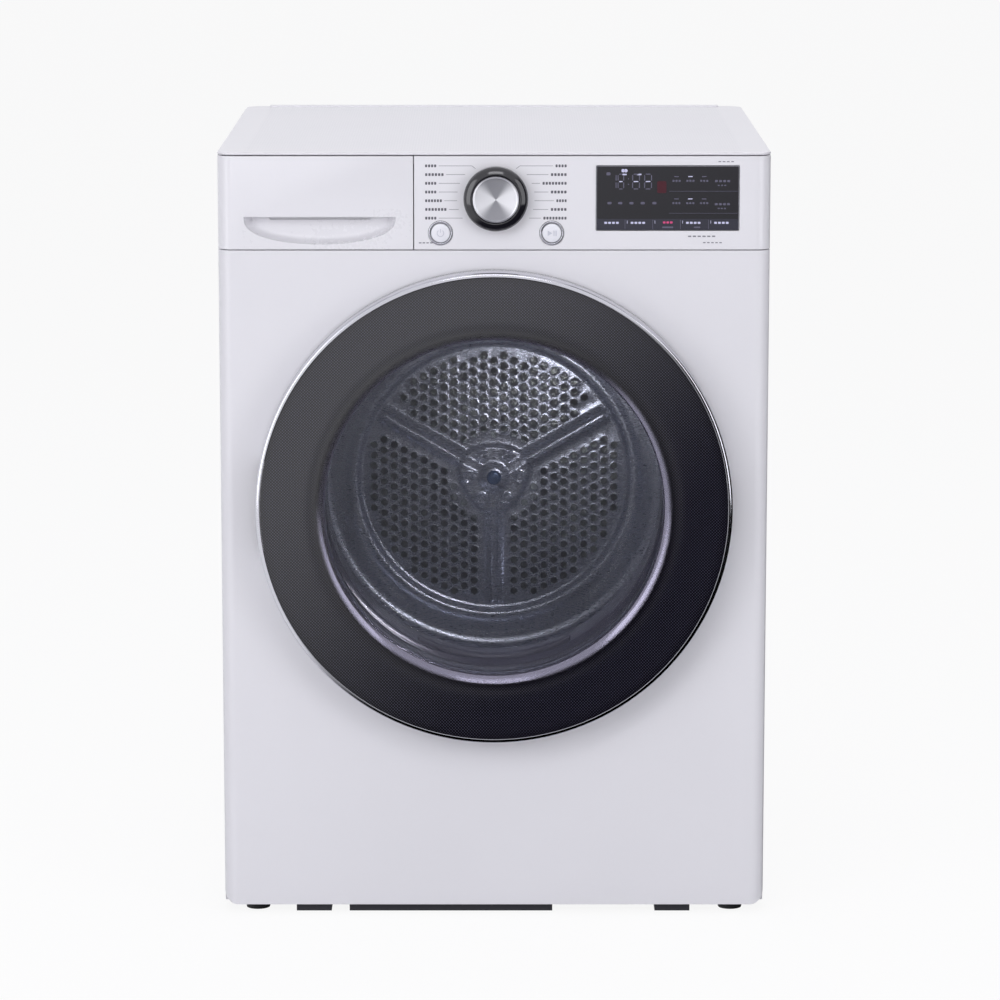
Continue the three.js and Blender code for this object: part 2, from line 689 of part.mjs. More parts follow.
// The drawer front has a scoop with a flat brow, a curved sill and a finger slot under the brow.
function drawerFront() {
  const right = SPLIT_X - SEAM / 2;
  const shell = frontShell(-HALF_WIDTH, right, CONTROL_BOTTOM, CONTROL_TOP, MOULDING);
  const middle = SPLIT_X - 19.5 - SCOOP_WIDTH / 2;
  const sill = CONTROL_BOTTOM + SCOOP_SILL;
  const brow = sill + SCOOP_HEIGHT;
  const scoop = new THREE.Shape();
  scoop.moveTo(middle + SCOOP_WIDTH / 2, brow);
  scoop.lineTo(middle - SCOOP_WIDTH / 2, brow);
  scoop.absellipse(middle, brow, SCOOP_WIDTH / 2, SCOOP_HEIGHT, Math.PI, 2 * Math.PI);
  const housing = block(
    middle - SCOOP_WIDTH / 2 - 4, middle + SCOOP_WIDTH / 2 + 4,
    FRONT + 1, FRONT + SCOOP_DEPTH + MOULDING, CONTROL_BOTTOM + 1, brow + 16,
  );
  const slot = block(
    middle - GRIP_SLOT_WIDTH / 2, middle + GRIP_SLOT_WIDTH / 2,
    FRONT + 5, FRONT + SCOOP_DEPTH, brow - 3, brow + 12,
  );
  return cut(join(shell, housing), slab(scoop, FRONT - 1, FRONT + SCOOP_DEPTH), slot);
}

piece(dryer, 'drawer_front', drawerFront(), moulding);

// ---------------------------------------------------------------- front bulkhead, duct and filter

const FILTER_FRONT = FRONT + FILTER_SETBACK - FILTER_THICKNESS / 2;
const FILTER_BACK = FILTER_FRONT + FILTER_THICKNESS;
const DUCT_FRONT = FILTER_FRONT - RUNNING_FIT - DUCT_WALL;
const DUCT_BACK = FILTER_BACK + RUNNING_FIT + DUCT_WALL;
const DUCT_BOTTOM = TRAY_TOP + DUCT_RISE;
const DUCT_FOOT_TOP = DUCT_BOTTOM + DUCT_FOOT_HEIGHT;

function frontBulkhead() {
  const outer = COLLAR_RADIUS + COLLAR_WALL;
  const edge = TRAY_HALF - MOULDING - RUNNING_FIT;
  const sheet = block(-edge, edge, BULKHEAD, BULKHEAD_BACK, TRAY_TOP + FIT, PANEL_TOP - 8);
  const mouth = FRONT + SHEET + RUNNING_FIT;
  const collar = turned([
    [COLLAR_RADIUS, mouth + 1], [COLLAR_RADIUS + 1, mouth], [outer + 15, mouth],
    [outer + 15, mouth + COLLAR_WALL], [outer, mouth + COLLAR_WALL],
    [outer, BULKHEAD_BACK], [COLLAR_RADIUS, BULKHEAD_BACK],
  ], LARGE, 0, DOOR_Z);
  const bore = bar(COLLAR_RADIUS + 1, BULKHEAD - 1, BULKHEAD_BACK + 1, 0, DOOR_Z, LARGE);
  const slot = block(
    -FILTER_WIDTH / 2 - RUNNING_FIT, FILTER_WIDTH / 2 + RUNNING_FIT,
    FILTER_FRONT - RUNNING_FIT, FILTER_BACK + RUNNING_FIT,
    DOOR_Z - outer - 1, DOOR_Z - COLLAR_RADIUS / 2,
  );
  const airWay = block(
    AIR_WAY_LEFT, AIR_WAY_RIGHT, BULKHEAD - 1, BULKHEAD_BACK + 1,
    DUCT_BOTTOM + DUCT_WALL, DUCT_FOOT_TOP - DUCT_WALL,
  );
  return cut(join(cut(sheet, bore), collar), slot, airWay);
}

piece(dryer, 'front_bulkhead', frontBulkhead(), greyPlastic);

// The duct takes the air down from the filter and across to the heat pump on the left.
function lintDuct() {
  const half = FILTER_WIDTH / 2 + RUNNING_FIT + DUCT_WALL;
  const boxes = (inset, top) => join(
    block(
      -half + inset, half - inset, DUCT_FRONT + inset, DUCT_BACK - inset,
      DUCT_BOTTOM + inset, top,
    ),
    block(
      AIR_WAY_LEFT - DUCT_WALL + inset, half - inset, DUCT_FRONT + inset, DUCT_BACK - inset,
      DUCT_BOTTOM + inset, DUCT_FOOT_TOP - inset,
    ),
  );
  const collarSpace = bar(
    COLLAR_RADIUS + COLLAR_WALL + FIT, DUCT_FRONT - 1, DUCT_BACK + 1, 0, DOOR_Z, LARGE,
  );
  const outlet = block(
    AIR_WAY_LEFT, AIR_WAY_RIGHT, DUCT_BACK - DUCT_WALL - 1, DUCT_BACK + 1,
    DUCT_BOTTOM + DUCT_WALL, DUCT_FOOT_TOP - DUCT_WALL,
  );
  return cut(boxes(0, DOOR_Z - COLLAR_RADIUS / 2), boxes(DUCT_WALL, DOOR_Z), collarSpace, outlet);
}

piece(dryer, 'lint_duct', lintDuct(), darkPlastic);

// The filter's top follows the collar. Two windows on each side hold its mesh.
function lintFilter() {
  const half = FILTER_WIDTH / 2;
  const bottom = DOOR_Z - COLLAR_RADIUS - FILTER_HEIGHT;
  const body = block(-half, half, FILTER_FRONT, FILTER_BACK, bottom, DOOR_Z - COLLAR_RADIUS / 2)
    .subtract(bar(COLLAR_RADIUS, FILTER_FRONT - 1, FILTER_BACK + 1, 0, DOOR_Z, LARGE));
  const top = DOOR_Z - COLLAR_RADIUS;
  const windows = [-1, 1].map((side) => block(
    side * 5, side * (half - 8), FILTER_FRONT - 1, FILTER_BACK + 1, bottom + 10, top - 20,
  ));
  const lip = block(-22, 22, FILTER_FRONT + 4, FILTER_FRONT + 8, top - 2, top + 9);
  const mesh = block(-half + 2, half - 2, FILTER_BACK - 4, FILTER_BACK - 3, bottom + 2, top - 16);
  return join(cut(body, ...windows), lip, mesh);
}

piece(dryer, 'lint_filter', lintFilter(), filterMesh);

const sealMiddle = DRUM_RADIUS - DRUM_LIP / 2;
piece(station(0, 0, DRUM_Z), 'drum_front_seal', turned([
  [sealMiddle - 7, BULKHEAD_BACK + FIT], [sealMiddle + 7, BULKHEAD_BACK + FIT],
  [sealMiddle + 7, DRUM_FRONT - FIT], [sealMiddle - 7, DRUM_FRONT - FIT],
], LARGE), felt);

// ---------------------------------------------------------------- drum

const drum = station(0, 0, DRUM_Z);
const drumInside = DRUM_RADIUS - SHEET;
piece(drum, 'drum_shell', turned([
  [DRUM_RADIUS, DRUM_FRONT], [DRUM_RADIUS, DRUM_REAR], [drumInside, DRUM_REAR],
  [drumInside, DRUM_FRONT + SHEET], [DRUM_RADIUS - DRUM_LIP, DRUM_FRONT + SHEET],
  [DRUM_RADIUS - DRUM_LIP, DRUM_FRONT],
], LARGE), stainless);

// The back plate: a domed hub, a flat perforated disc and two steps up to the rim.
const discFront = DRUM_REAR - 2 * SHEET;

function drumBackPlate() {
  const rim = drumInside - FIT;
  const faceOf = (back) => [
    [0, discFront - HUB_RISE + back], [HUB_RADIUS * 0.6, discFront - HUB_RISE + 2 + back],
    [HUB_RADIUS + 4, discFront + back], [BACK_DISC_RADIUS, discFront + back],
    [BACK_DISC_RADIUS + 8, discFront - 10 + back],
  ];
  const plate = turned([
    ...faceOf(0), [rim, discFront - 10], [rim, DRUM_REAR], [rim - SHEET, DRUM_REAR],
    [rim - SHEET, discFront - 10 + SHEET], ...faceOf(SHEET).reverse(),
  ], LARGE);
  const holes = [];
  for (const [radius, count] of BACK_HOLE_RINGS) {
    for (let i = 0; i < count; i += 1) {
      const angle = 2 * Math.PI * (i + 0.5) / count;
      holes.push(bar(
        BACK_HOLE_RADIUS, discFront - 1, discFront + SHEET + 1,
        radius * Math.sin(angle), -radius * Math.cos(angle), 8,
      ));
    }
  }
  return cut(plate, ...holes);
}

piece(drum, 'drum_back_plate', drumBackPlate(), stainless);

const shaftEnd = REAR_PANEL_FRONT - 2;
piece(drum, 'drum_shaft', turned([
  [0, discFront + SHEET + FIT], [HUB_RADIUS + 22, discFront + SHEET + FIT],
  [HUB_RADIUS + 22, discFront + SHEET + 5], [SHAFT_RADIUS + 6, discFront + SHEET + 8],
  [SHAFT_RADIUS, discFront + SHEET + 11], [SHAFT_RADIUS, shaftEnd], [0, shaftEnd],
]), castMetal);

// Three baffles lift the laundry.
const lifterSection = polygon([
  [-LIFTER_HALF_WIDTH, 0], [LIFTER_HALF_WIDTH, 0], [18, LIFTER_HEIGHT - 14], [11, LIFTER_HEIGHT - 3],
  [0, LIFTER_HEIGHT], [-11, LIFTER_HEIGHT - 3], [-18, LIFTER_HEIGHT - 14],
]);
const lifterSeat = Math.sqrt((drumInside - 1.5) ** 2 - LIFTER_HALF_WIDTH ** 2);
[-40, 80, 200].forEach((angle, i) => {
  const turn = new THREE.Group();
  turn.rotation.y = radians(angle);
  drum.add(turn);
  const baffle = slab(lifterSection, DRUM_FRONT + 16, discFront - 22);
  const lifter = piece(turn, `lifter_${i + 1}`, baffle, darkPlastic);
  lifter.position.z = -lifterSeat;
});

piece(station(0, 0, DRUM_Z), 'rear_bearing', turned([
  [SHAFT_RADIUS + RUNNING_FIT, BEARING_FRONT], [BEARING_RADIUS - 8, BEARING_FRONT],
  [BEARING_RADIUS - 8, BEARING_FRONT + 8], [BEARING_RADIUS, BEARING_FRONT + 20],
  [BEARING_RADIUS, REAR_PANEL_FRONT - FIT], [SHAFT_RADIUS + RUNNING_FIT, REAR_PANEL_FRONT - FIT],
]), castMetal);

// Two rollers carry the drum's front edge.
const rollerReach = DRUM_RADIUS + ROLLER_RADIUS + FIT;
const ROLLER_FRONT = DRUM_FRONT + 6;
for (const [name, side] of [['left', -1], ['right', 1]]) {
  const seat = station(
    side * rollerReach * Math.sin(radians(ROLLER_ANGLE)), 0,
    DRUM_Z - rollerReach * Math.cos(radians(ROLLER_ANGLE)),
  );
  piece(seat, `roller_axle_${name}`, join(
    bar(AXLE_RADIUS, BULKHEAD_BACK + FIT, ROLLER_FRONT + ROLLER_WIDTH + 6),
    bar(AXLE_RADIUS + 5, BULKHEAD_BACK + FIT, ROLLER_FRONT - 1),
  ), castMetal);
  piece(seat, `front_roller_${name}`, turned([
    [AXLE_RADIUS + RUNNING_FIT, ROLLER_FRONT], [AXLE_RADIUS + 6, ROLLER_FRONT],
    [AXLE_RADIUS + 8, ROLLER_FRONT + 4], [ROLLER_RADIUS - 6, ROLLER_FRONT + 4],
    [ROLLER_RADIUS - 4, ROLLER_FRONT], [ROLLER_RADIUS, ROLLER_FRONT],
    [ROLLER_RADIUS, ROLLER_FRONT + ROLLER_WIDTH],
    [AXLE_RADIUS + RUNNING_FIT, ROLLER_FRONT + ROLLER_WIDTH],
  ]), rubber);
}

// ---------------------------------------------------------------- motor, fan and belt

const motorBack = MOTOR_FRONT + MOTOR_LENGTH;
const fanBack = MOTOR_FRONT - 10;
const fanFront = fanBack - FAN_DEPTH;
const shaftBore = MOTOR_SHAFT_RADIUS + RUNNING_FIT;
const motor = station(MOTOR_X, 0, MOTOR_Z);

piece(motor, 'motor_body', join(
  turned([
    [shaftBore, MOTOR_FRONT], [MOTOR_RADIUS - 14, MOTOR_FRONT], [MOTOR_RADIUS, MOTOR_FRONT + 12],
    [MOTOR_RADIUS, motorBack - 12], [MOTOR_RADIUS - 14, motorBack], [shaftBore, motorBack],
  ]),
  block(
    -MOTOR_RADIUS + 4, MOTOR_RADIUS - 4, MOTOR_FRONT + 20, motorBack - 20,
    TRAY_TOP + FIT - MOTOR_Z, -MOTOR_RADIUS + 8,
  ),
), castMetal);

piece(motor, 'motor_shaft_pulley', turned([
  [0, fanFront + 6], [MOTOR_SHAFT_RADIUS, fanFront + 6],
  [MOTOR_SHAFT_RADIUS, BELT_Y - BELT_WIDTH / 2 - 3], [PULLEY_RADIUS + 3, BELT_Y - BELT_WIDTH / 2 - 3],
  [PULLEY_RADIUS + 3, BELT_Y - BELT_WIDTH / 2 - 1], [PULLEY_RADIUS, BELT_Y - BELT_WIDTH / 2 - 1],
  [PULLEY_RADIUS, BELT_Y + BELT_WIDTH / 2 + 2], [0, BELT_Y + BELT_WIDTH / 2 + 2],
]), castMetal);

function fanWheel() {
  const blades = [];
  for (let i = 0; i < FAN_BLADES; i += 1) {
    const blade = new THREE.BoxGeometry(12, FAN_DEPTH - 2, 1.6);
    blade.rotateY(radians(35));
    blade.translate(FAN_RADIUS - 7, fanFront + FAN_DEPTH / 2, 0);
    blade.rotateY(2 * Math.PI * i / FAN_BLADES);
    blades.push(solid(blade));
  }
  const disc = turned([
    [shaftBore, fanFront + 12], [shaftBore + 6, fanFront + 12], [shaftBore + 8, fanBack - 3],
    [FAN_RADIUS, fanBack - 3], [FAN_RADIUS, fanBack], [shaftBore, fanBack],
  ]);
  const rim = turned([
    [FAN_RADIUS - 14, fanFront], [FAN_RADIUS, fanFront], [FAN_RADIUS, fanFront + 2],
    [FAN_RADIUS - 14, fanFront + 2],
  ]);
  return join(disc, rim, ...blades);
}

piece(motor, 'fan_wheel', fanWheel(), darkPlastic);

function fanHousing() {
  const outer = FAN_RADIUS + 10;
  const wall = FAN_HOUSING_WALL;
  const front = fanFront - 4 - wall;
  const back = fanBack + 3 + wall;
  const scroll = turned([
    [FAN_RADIUS - 20, front], [outer, front], [outer, back], [MOTOR_SHAFT_RADIUS + 6, back],
    [MOTOR_SHAFT_RADIUS + 6, back - wall], [outer - wall, back - wall], [outer - wall, front + wall],
    [FAN_RADIUS - 20, front + wall],
  ]);
  const stand = block(-30, 30, front, back, TRAY_TOP + FIT - MOTOR_Z, -outer + 4);
  const outlet = block(-outer - 1, -outer + 12, front + wall, back - wall, -20, 30);
  const inside = bar(outer - wall, front + wall, back - wall, 0, 0, MIDDLE);
  return cut(join(scroll, cut(stand, inside)), outlet);
}

piece(motor, 'fan_housing', fanHousing(), greyPlastic);

const idler = station(IDLER_X, 0, IDLER_Z);
const idlerFront = BELT_Y - BELT_WIDTH / 2 - 1;
const idlerBack = BELT_Y + BELT_WIDTH / 2 + 1;
piece(idler, 'idler_pulley', turned([
  [IDLER_PIN_RADIUS + RUNNING_FIT, idlerFront], [IDLER_RADIUS, idlerFront], [IDLER_RADIUS, idlerBack],
  [IDLER_PIN_RADIUS + RUNNING_FIT, idlerBack],
]), darkPlastic);

// The idler arm lies behind the belt, on a pin at each end.
function idlerArm() {
  const reach = new THREE.Vector2(IDLER_X - IDLER_PIVOT_X, IDLER_Z - IDLER_PIVOT_Z);
  const front = idlerBack + 1;
  const back = front + 4;
  const arm = new THREE.BoxGeometry(reach.length(), back - front, 14);
  arm.translate(reach.length() / 2, 0, 0);
  arm.rotateY(-reach.angle());
  arm.translate(IDLER_PIVOT_X, (front + back) / 2, IDLER_PIVOT_Z);
  return join(
    solid(arm),
    bar(9, front, back, IDLER_X, IDLER_Z),
    bar(10, front, back, IDLER_PIVOT_X, IDLER_PIVOT_Z),
    bar(IDLER_PIN_RADIUS, idlerFront - 1, back, IDLER_X, IDLER_Z),
    bar(IDLER_PIN_RADIUS, front, BELT_Y + BELT_WIDTH / 2 + 20, IDLER_PIVOT_X, IDLER_PIVOT_Z),
  );
}

piece(dryer, 'idler_arm', idlerArm(), zinc);

// The belt's line round a list of wheels, each [x, z, radius, turn], where turn is 1 for a wheel
// inside the loop and -1 for one that presses on its outside. It leaves extra all round.
function beltLine(wheels, extra) {
  const points = [];
  const touch = wheels.map(([x, z, radius, turn], i) => {
    const [nextX, nextZ, nextRadius, nextTurn] = wheels[(i + 1) % wheels.length];
    const away = new THREE.Vector2(nextX - x, nextZ - z);
    const here = turn * (radius + turn * extra);
    const there = nextTurn * (nextRadius + nextTurn * extra);
    return away.angle() - Math.acos((here - there) / away.length());
  });
  wheels.forEach(([x, z, radius, turn], i) => {
    const reach = turn * (radius + turn * extra);
    const start = touch[(i + wheels.length - 1) % wheels.length];
    let sweep = (touch[i] - start) % (2 * Math.PI);
    if (turn > 0 && sweep < 0) sweep += 2 * Math.PI;
    if (turn < 0 && sweep > 0) sweep -= 2 * Math.PI;
    const longestStep = 2 * Math.acos(1 - 0.8 * RUNNING_FIT / radius);
    const steps = Math.ceil(Math.abs(sweep) / longestStep);
    for (let step = 0; step <= steps; step += 1) {
      const angle = start + sweep * step / steps;
      points.push([x + reach * Math.cos(angle), z + reach * Math.sin(angle)]);
    }
  });
  return points;
}

const beltWheels = [
  [0, DRUM_Z, DRUM_RADIUS, 1],
  [IDLER_X, IDLER_Z, IDLER_RADIUS + BELT_THICKNESS + 2 * RUNNING_FIT, -1],
  [MOTOR_X, MOTOR_Z, PULLEY_RADIUS, 1],
];
const beltShape = polygon(beltLine(beltWheels, RUNNING_FIT + BELT_THICKNESS));
beltShape.holes.push(polygon(beltLine(beltWheels, RUNNING_FIT)));
piece(dryer, 'drive_belt', slab(beltShape, BELT_Y - BELT_WIDTH / 2, BELT_Y + BELT_WIDTH / 2), rubber);

// ---------------------------------------------------------------- heat pump and drain

// A coil's fins stand across it as one comb, between two end plates with pipes at the right.
function coil(ya, yb) {
  const left = -HALF_WIDTH + COIL_INSET;
  const low = TRAY_TOP + 8;
  const top = low + COIL_HEIGHT;
  const pitch = COIL_WIDTH / COIL_FINS;
  const outline = [[left, low], [left + COIL_WIDTH, low]];
  for (let i = COIL_FINS - 1; i >= 0; i -= 1) {
    outline.push([left + (i + 1) * pitch, top], [left + (i + 0.5) * pitch, top]);
    if (i > 0) outline.push([left + (i + 0.5) * pitch, low + 8], [left + i * pitch, low + 8]);
  }
  outline.push([left, top]);
  const ends = [left - 3, left + COIL_WIDTH - 1].map((x) => (
    block(x, x + 4, ya - 3, yb + 3, low - 7, top + 2)
  ));
  const headers = COIL_HEADERS.map((up) => (
    bar(COIL_HEADER_RADIUS, ya + 6, yb - 6, left + COIL_WIDTH + COIL_HEADER_RADIUS, low + up, 10)
  ));
  return join(slab(polygon(outline), ya, yb), ...ends, ...headers);
}

for (const [name, setback, length] of COILS) {
  const front = BULKHEAD_BACK + setback;
  piece(dryer, name, coil(front, front + length), finStock);
}

const compressorLow = TRAY_TOP + 6;
const compressorTop = compressorLow + COMPRESSOR_HEIGHT;
const compressorFeet = [30, 150, 270].map((angle) => post(
  COMPRESSOR_FOOT_RADIUS, TRAY_TOP + FIT, compressorLow + 12,
  (COMPRESSOR_RADIUS - 6) * Math.cos(radians(angle)), (COMPRESSOR_RADIUS - 6) * Math.sin(radians(angle)),
));
const compressorShell = new THREE.LatheGeometry([
  [0, compressorLow + 6], [COMPRESSOR_RADIUS - 8, compressorLow + 6],
  [COMPRESSOR_RADIUS, compressorLow + 16], [COMPRESSOR_RADIUS, compressorTop - 30],
  [COMPRESSOR_RADIUS - 12, compressorTop - 10], [COMPRESSOR_RADIUS - 34, compressorTop],
  [0, compressorTop],
].map(([radius, z]) => new THREE.Vector2(radius, z)), MIDDLE).rotateX(Math.PI / 2);
const compressorSeat = station(HALF_WIDTH - COMPRESSOR_INSET, REAR - COMPRESSOR_INSET, 0);
piece(compressorSeat, 'compressor', join(solid(compressorShell), ...compressorFeet), blackPaint);

const pumpTop = TRAY_TOP + PUMP_HEIGHT;
piece(station(PUMP_X, REAR - PUMP_SETBACK, 0), 'drain_pump', join(
  post(PUMP_RADIUS, TRAY_TOP + FIT, pumpTop + 2),
  post(PUMP_MOTOR_RADIUS, pumpTop, pumpTop + PUMP_HEIGHT),
  bar(PUMP_SPOUT_RADIUS, PUMP_RADIUS - 6, PUMP_RADIUS + 20, 0, TRAY_TOP + 20),
), greyPlastic);

// ---------------------------------------------------------------- door

const door = station(0, 0, DOOR_Z);
const rimInside = DOOR_RADIUS - RIM_WALL;
const lipInside = DOOR_RADIUS - RIM_LIP;
const frameBack = DOOR_BACK - 2;
const frameFront = frameBack - 4;
const NOTCH_HALF = HINGE_HEIGHT / 2 + 2;
const NOTCH_LEFT = HINGE_X - 50;
const bowlSeat = BOWL_RADIUS + 8;
const BOWL_SEAT_WALL = 3;

// What the door leaves open: a finger grip at the left edge and a notch for the hinge at the right.
const gripSpace = () => block(
  -DOOR_RADIUS - 1, -DOOR_RADIUS + GRIP_DEPTH, DOOR_BACK - 20, DOOR_BACK + 1,
  -GRIP_HEIGHT / 2, GRIP_HEIGHT / 2,
);
const hingeNotch = () => block(
  NOTCH_LEFT, DOOR_RADIUS + 1, HINGE_Y - 7, DOOR_BACK + 1, -NOTCH_HALF, NOTCH_HALF,
);

piece(door, 'door_ring', cut(turned([
  [rimInside, DOOR_BACK], [DOOR_RADIUS, DOOR_BACK], [DOOR_RADIUS, RIM_FRONT + 3],
  [DOOR_RADIUS - 1.5, RIM_FRONT + 0.6], [DOOR_RADIUS - 4, RIM_FRONT], [lipInside, RIM_FRONT],
  [lipInside, RIM_FRONT + 3], [rimInside, RIM_FRONT + 5],
], LARGE), gripSpace(), hingeNotch()), chrome);

// The tinted cover is a shallow dome.
function coverFace(radius, lift) {
  return [radius, DOOR_FRONT + COVER_DOME * (radius / lipInside) ** 2 + lift];
}

const coverEdge = lipInside - FIT;
const coverSteps = [0, 0.3, 0.55, 0.8, 1].map((share) => share * coverEdge);
piece(door, 'door_outer_cover', turned([
  ...coverSteps.map((radius) => coverFace(radius, 0)),
  ...coverSteps.map((radius) => coverFace(radius, COVER_THICKNESS)).reverse(),
], LARGE), tintedGlass);

function doorFrame() {
  const seatOutside = bowlSeat + BOWL_SEAT_WALL;
  const disc = turned([
    [bowlSeat, frameFront - 20], [seatOutside, frameFront - 20], [seatOutside, frameFront],
    [rimInside - FIT, frameFront], [rimInside - FIT, frameBack], [bowlSeat, frameBack],
  ], LARGE);
  const gripWall = block(
    -DOOR_RADIUS + GRIP_DEPTH, -DOOR_RADIUS + GRIP_DEPTH + 3, RIM_FRONT + 8, frameFront + 1,
    -GRIP_HEIGHT / 2, GRIP_HEIGHT / 2,
  );
  return join(cut(disc, gripSpace(), hingeNotch()), gripWall);
}

piece(door, 'door_frame', doorFrame(), darkPlastic);

// The glass bowl fills the loading opening as far as the drum's mouth.
const bowlBack = FRONT + BOWL_DEPTH;
const bowlFlange = frameFront - 6;
const bowlLine = [
  [BOWL_RADIUS + 2, bowlFlange + GLASS], [BOWL_RADIUS, FRONT], [BOWL_RADIUS - 7, bowlBack - 24],
  [BOWL_RADIUS - 20, bowlBack - 10], [BOWL_RADIUS - 45, bowlBack - 3], [0, bowlBack],
];
piece(door, 'door_bowl', turned([
  [BOWL_RADIUS - 2, bowlFlange], [BOWL_RADIUS + 7, bowlFlange], [BOWL_RADIUS + 7, bowlFlange + GLASS],
  ...bowlLine,
  [0, bowlBack - GLASS], [BOWL_RADIUS - 47, bowlBack - GLASS - 3], [BOWL_RADIUS - 24, bowlBack - GLASS - 9],
  [BOWL_RADIUS - 11, bowlBack - GLASS - 22], [BOWL_RADIUS - GLASS, FRONT],
], 32), clearGlass);

piece(door, 'door_gasket', turned([
  [COLLAR_RADIUS + 1.5, FRONT + SHEET + RUNNING_FIT - FIT],
  [PANEL_HOLE_RADIUS - 1.5, FRONT + SHEET + RUNNING_FIT - FIT],
  [PANEL_HOLE_RADIUS - 3, FRONT - DOOR_GAP + 0.5], [COLLAR_RADIUS + 3, FRONT - DOOR_GAP + 0.5],
], LARGE), rubber);

// The hinge: a plate with two leaning arms on the cabinet, and a leaf with the pin on the door.
const armHalf = HINGE_ARM_THICKNESS / 2;
const armHeights = [-1, 1].map((side) => side * (HINGE_HEIGHT / 2 - armHalf - 1));

function hingePlate() {
  const face = FRONT - FIT;
  const plateHalf = HINGE_HEIGHT / 2 - 1;
  const plate = block(HINGE_X - 45, HINGE_X - 22, face - 2.5, face, -plateHalf, plateHalf);
  const arms = armHeights.map((height) => {
    const arm = new THREE.BoxGeometry(50, 11, HINGE_ARM_THICKNESS);
    arm.translate(25, 0, 0);
    arm.rotateZ(radians(HINGE_LEAN));
    arm.translate(HINGE_X, HINGE_Y, height);
    return join(solid(arm), post(5.5, height - armHalf, height + armHalf, HINGE_X, HINGE_Y));
  });
  const cabinet = block(HINGE_X - 70, HINGE_X + 20, face, face + 30, -HINGE_HEIGHT, HINGE_HEIGHT);
  const pinHole = post(HINGE_PIN_RADIUS + FIT, -HINGE_HEIGHT, HINGE_HEIGHT, HINGE_X, HINGE_Y);
  return cut(join(plate, ...arms), cabinet, pinHole);
}

piece(door, 'door_hinge_plate', hingePlate(), zinc);

const leafHalf = HINGE_HEIGHT / 2 - HINGE_ARM_THICKNESS - 3;
const leafLeft = bowlSeat + BOWL_SEAT_WALL + 2 * FIT;
piece(door, 'door_hinge_arm', join(
  post(HINGE_PIN_RADIUS, -HINGE_HEIGHT / 2, HINGE_HEIGHT / 2, HINGE_X, HINGE_Y),
  post(5.5, -leafHalf, leafHalf, HINGE_X, HINGE_Y),
  block(leafLeft, HINGE_X, HINGE_Y - 3, HINGE_Y + 1, -leafHalf, leafHalf),
  block(leafLeft, NOTCH_LEFT - FIT, HINGE_Y - 3, frameFront - FIT, -leafHalf, leafHalf),
), zinc);

// The strike hook on the door enters the latch behind the front panel.
const strikeTip = FRONT + 22;
piece(door, 'door_strike', cut(
  join(
    block(STRIKE_X - 3, STRIKE_X + 3, frameBack + FIT, strikeTip, -7, 7),
    block(STRIKE_X - 9, STRIKE_X + 9, frameBack + FIT, frameBack + FIT + 1.5, -11, 11),
  ),
  block(STRIKE_X - 4, STRIKE_X + 4, strikeTip - 12, strikeTip - 5, -3, 8),
), zinc);

const latchFront = FRONT + SHEET + FIT;
piece(door, 'door_latch', cut(
  block(STRIKE_X - 17, STRIKE_X + 17, latchFront, strikeTip + 6, -26, 26),
  strikeSlot(latchFront - 1, strikeTip + 3, 0),
), darkPlastic);

export default dryer;
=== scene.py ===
import math

import bmesh
import bpy
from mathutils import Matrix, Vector
from mathutils.geometry import delaunay_2d_cdt


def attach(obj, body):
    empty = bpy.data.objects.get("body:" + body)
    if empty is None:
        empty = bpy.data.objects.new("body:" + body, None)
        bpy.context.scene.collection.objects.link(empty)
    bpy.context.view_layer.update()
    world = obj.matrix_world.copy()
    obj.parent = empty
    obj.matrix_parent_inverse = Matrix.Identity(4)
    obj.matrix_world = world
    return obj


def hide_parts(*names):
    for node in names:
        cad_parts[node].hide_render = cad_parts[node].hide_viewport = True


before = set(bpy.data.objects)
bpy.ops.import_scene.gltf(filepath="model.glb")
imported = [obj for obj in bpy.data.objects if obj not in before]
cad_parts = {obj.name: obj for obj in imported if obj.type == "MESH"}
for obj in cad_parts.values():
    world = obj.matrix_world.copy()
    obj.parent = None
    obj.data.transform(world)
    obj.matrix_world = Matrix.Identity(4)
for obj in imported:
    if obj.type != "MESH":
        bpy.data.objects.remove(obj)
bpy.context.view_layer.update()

# ---------------------------------------------------------------------------------------------
# Camera and studio.
# The dryer stands on a plain pale floor in soft light. Panels in front and above give the white
# paint its even tone, two panels at the sides draw bright lines on the rounded parts, and small
# lamps behind the door light the drum.

CAMERA_PLACE = (0.0, -4.945, 1.289)
CAMERA_LENS = 155.5
CAMERA_TILT = 80.0
CAMERA_SHIFT_X = 0.006
LAMP_COLOUR = (250, 250, 254)
BACKDROP_GLOW = 1.05


def linear(red, green, blue):
    """A display colour in 0 to 255 as the light values that the shaders use."""
    shares = [channel / 255 for channel in (red, green, blue)]
    return [s / 12.92 if s <= 0.04045 else ((s + 0.055) / 1.055) ** 2.4 for s in shares] + [1.0]


def add_object(name, data):
    made = bpy.data.objects.new(name, data)
    bpy.context.scene.collection.objects.link(made)
    return made


camera = add_object("camera", bpy.data.cameras.new("camera"))
camera.location = CAMERA_PLACE
camera.rotation_euler = (math.radians(CAMERA_TILT), 0, 0)
camera.data.lens = CAMERA_LENS
camera.data.shift_x = CAMERA_SHIFT_X
camera.data.sensor_width = 36
camera.data.clip_end = 100
bpy.context.scene.camera = camera
bpy.context.scene.view_settings.view_transform = "Standard"


def softbox(name, place, aim, width, height, watts, mirrored=False):
    """A lamp panel. It shows in shiny surfaces only where it is mirrored."""
    lamp = bpy.data.lights.new(name, "AREA")
    lamp.shape = "RECTANGLE"
    lamp.size = width
    lamp.size_y = height
    lamp.energy = watts
    lamp.color = linear(*LAMP_COLOUR)[:3]
    made = add_object(name, lamp)
    made.location = place
    made.rotation_euler = (Vector(aim) - Vector(place)).to_track_quat("-Z", "Y").to_euler()
    made.visible_glossy = mirrored


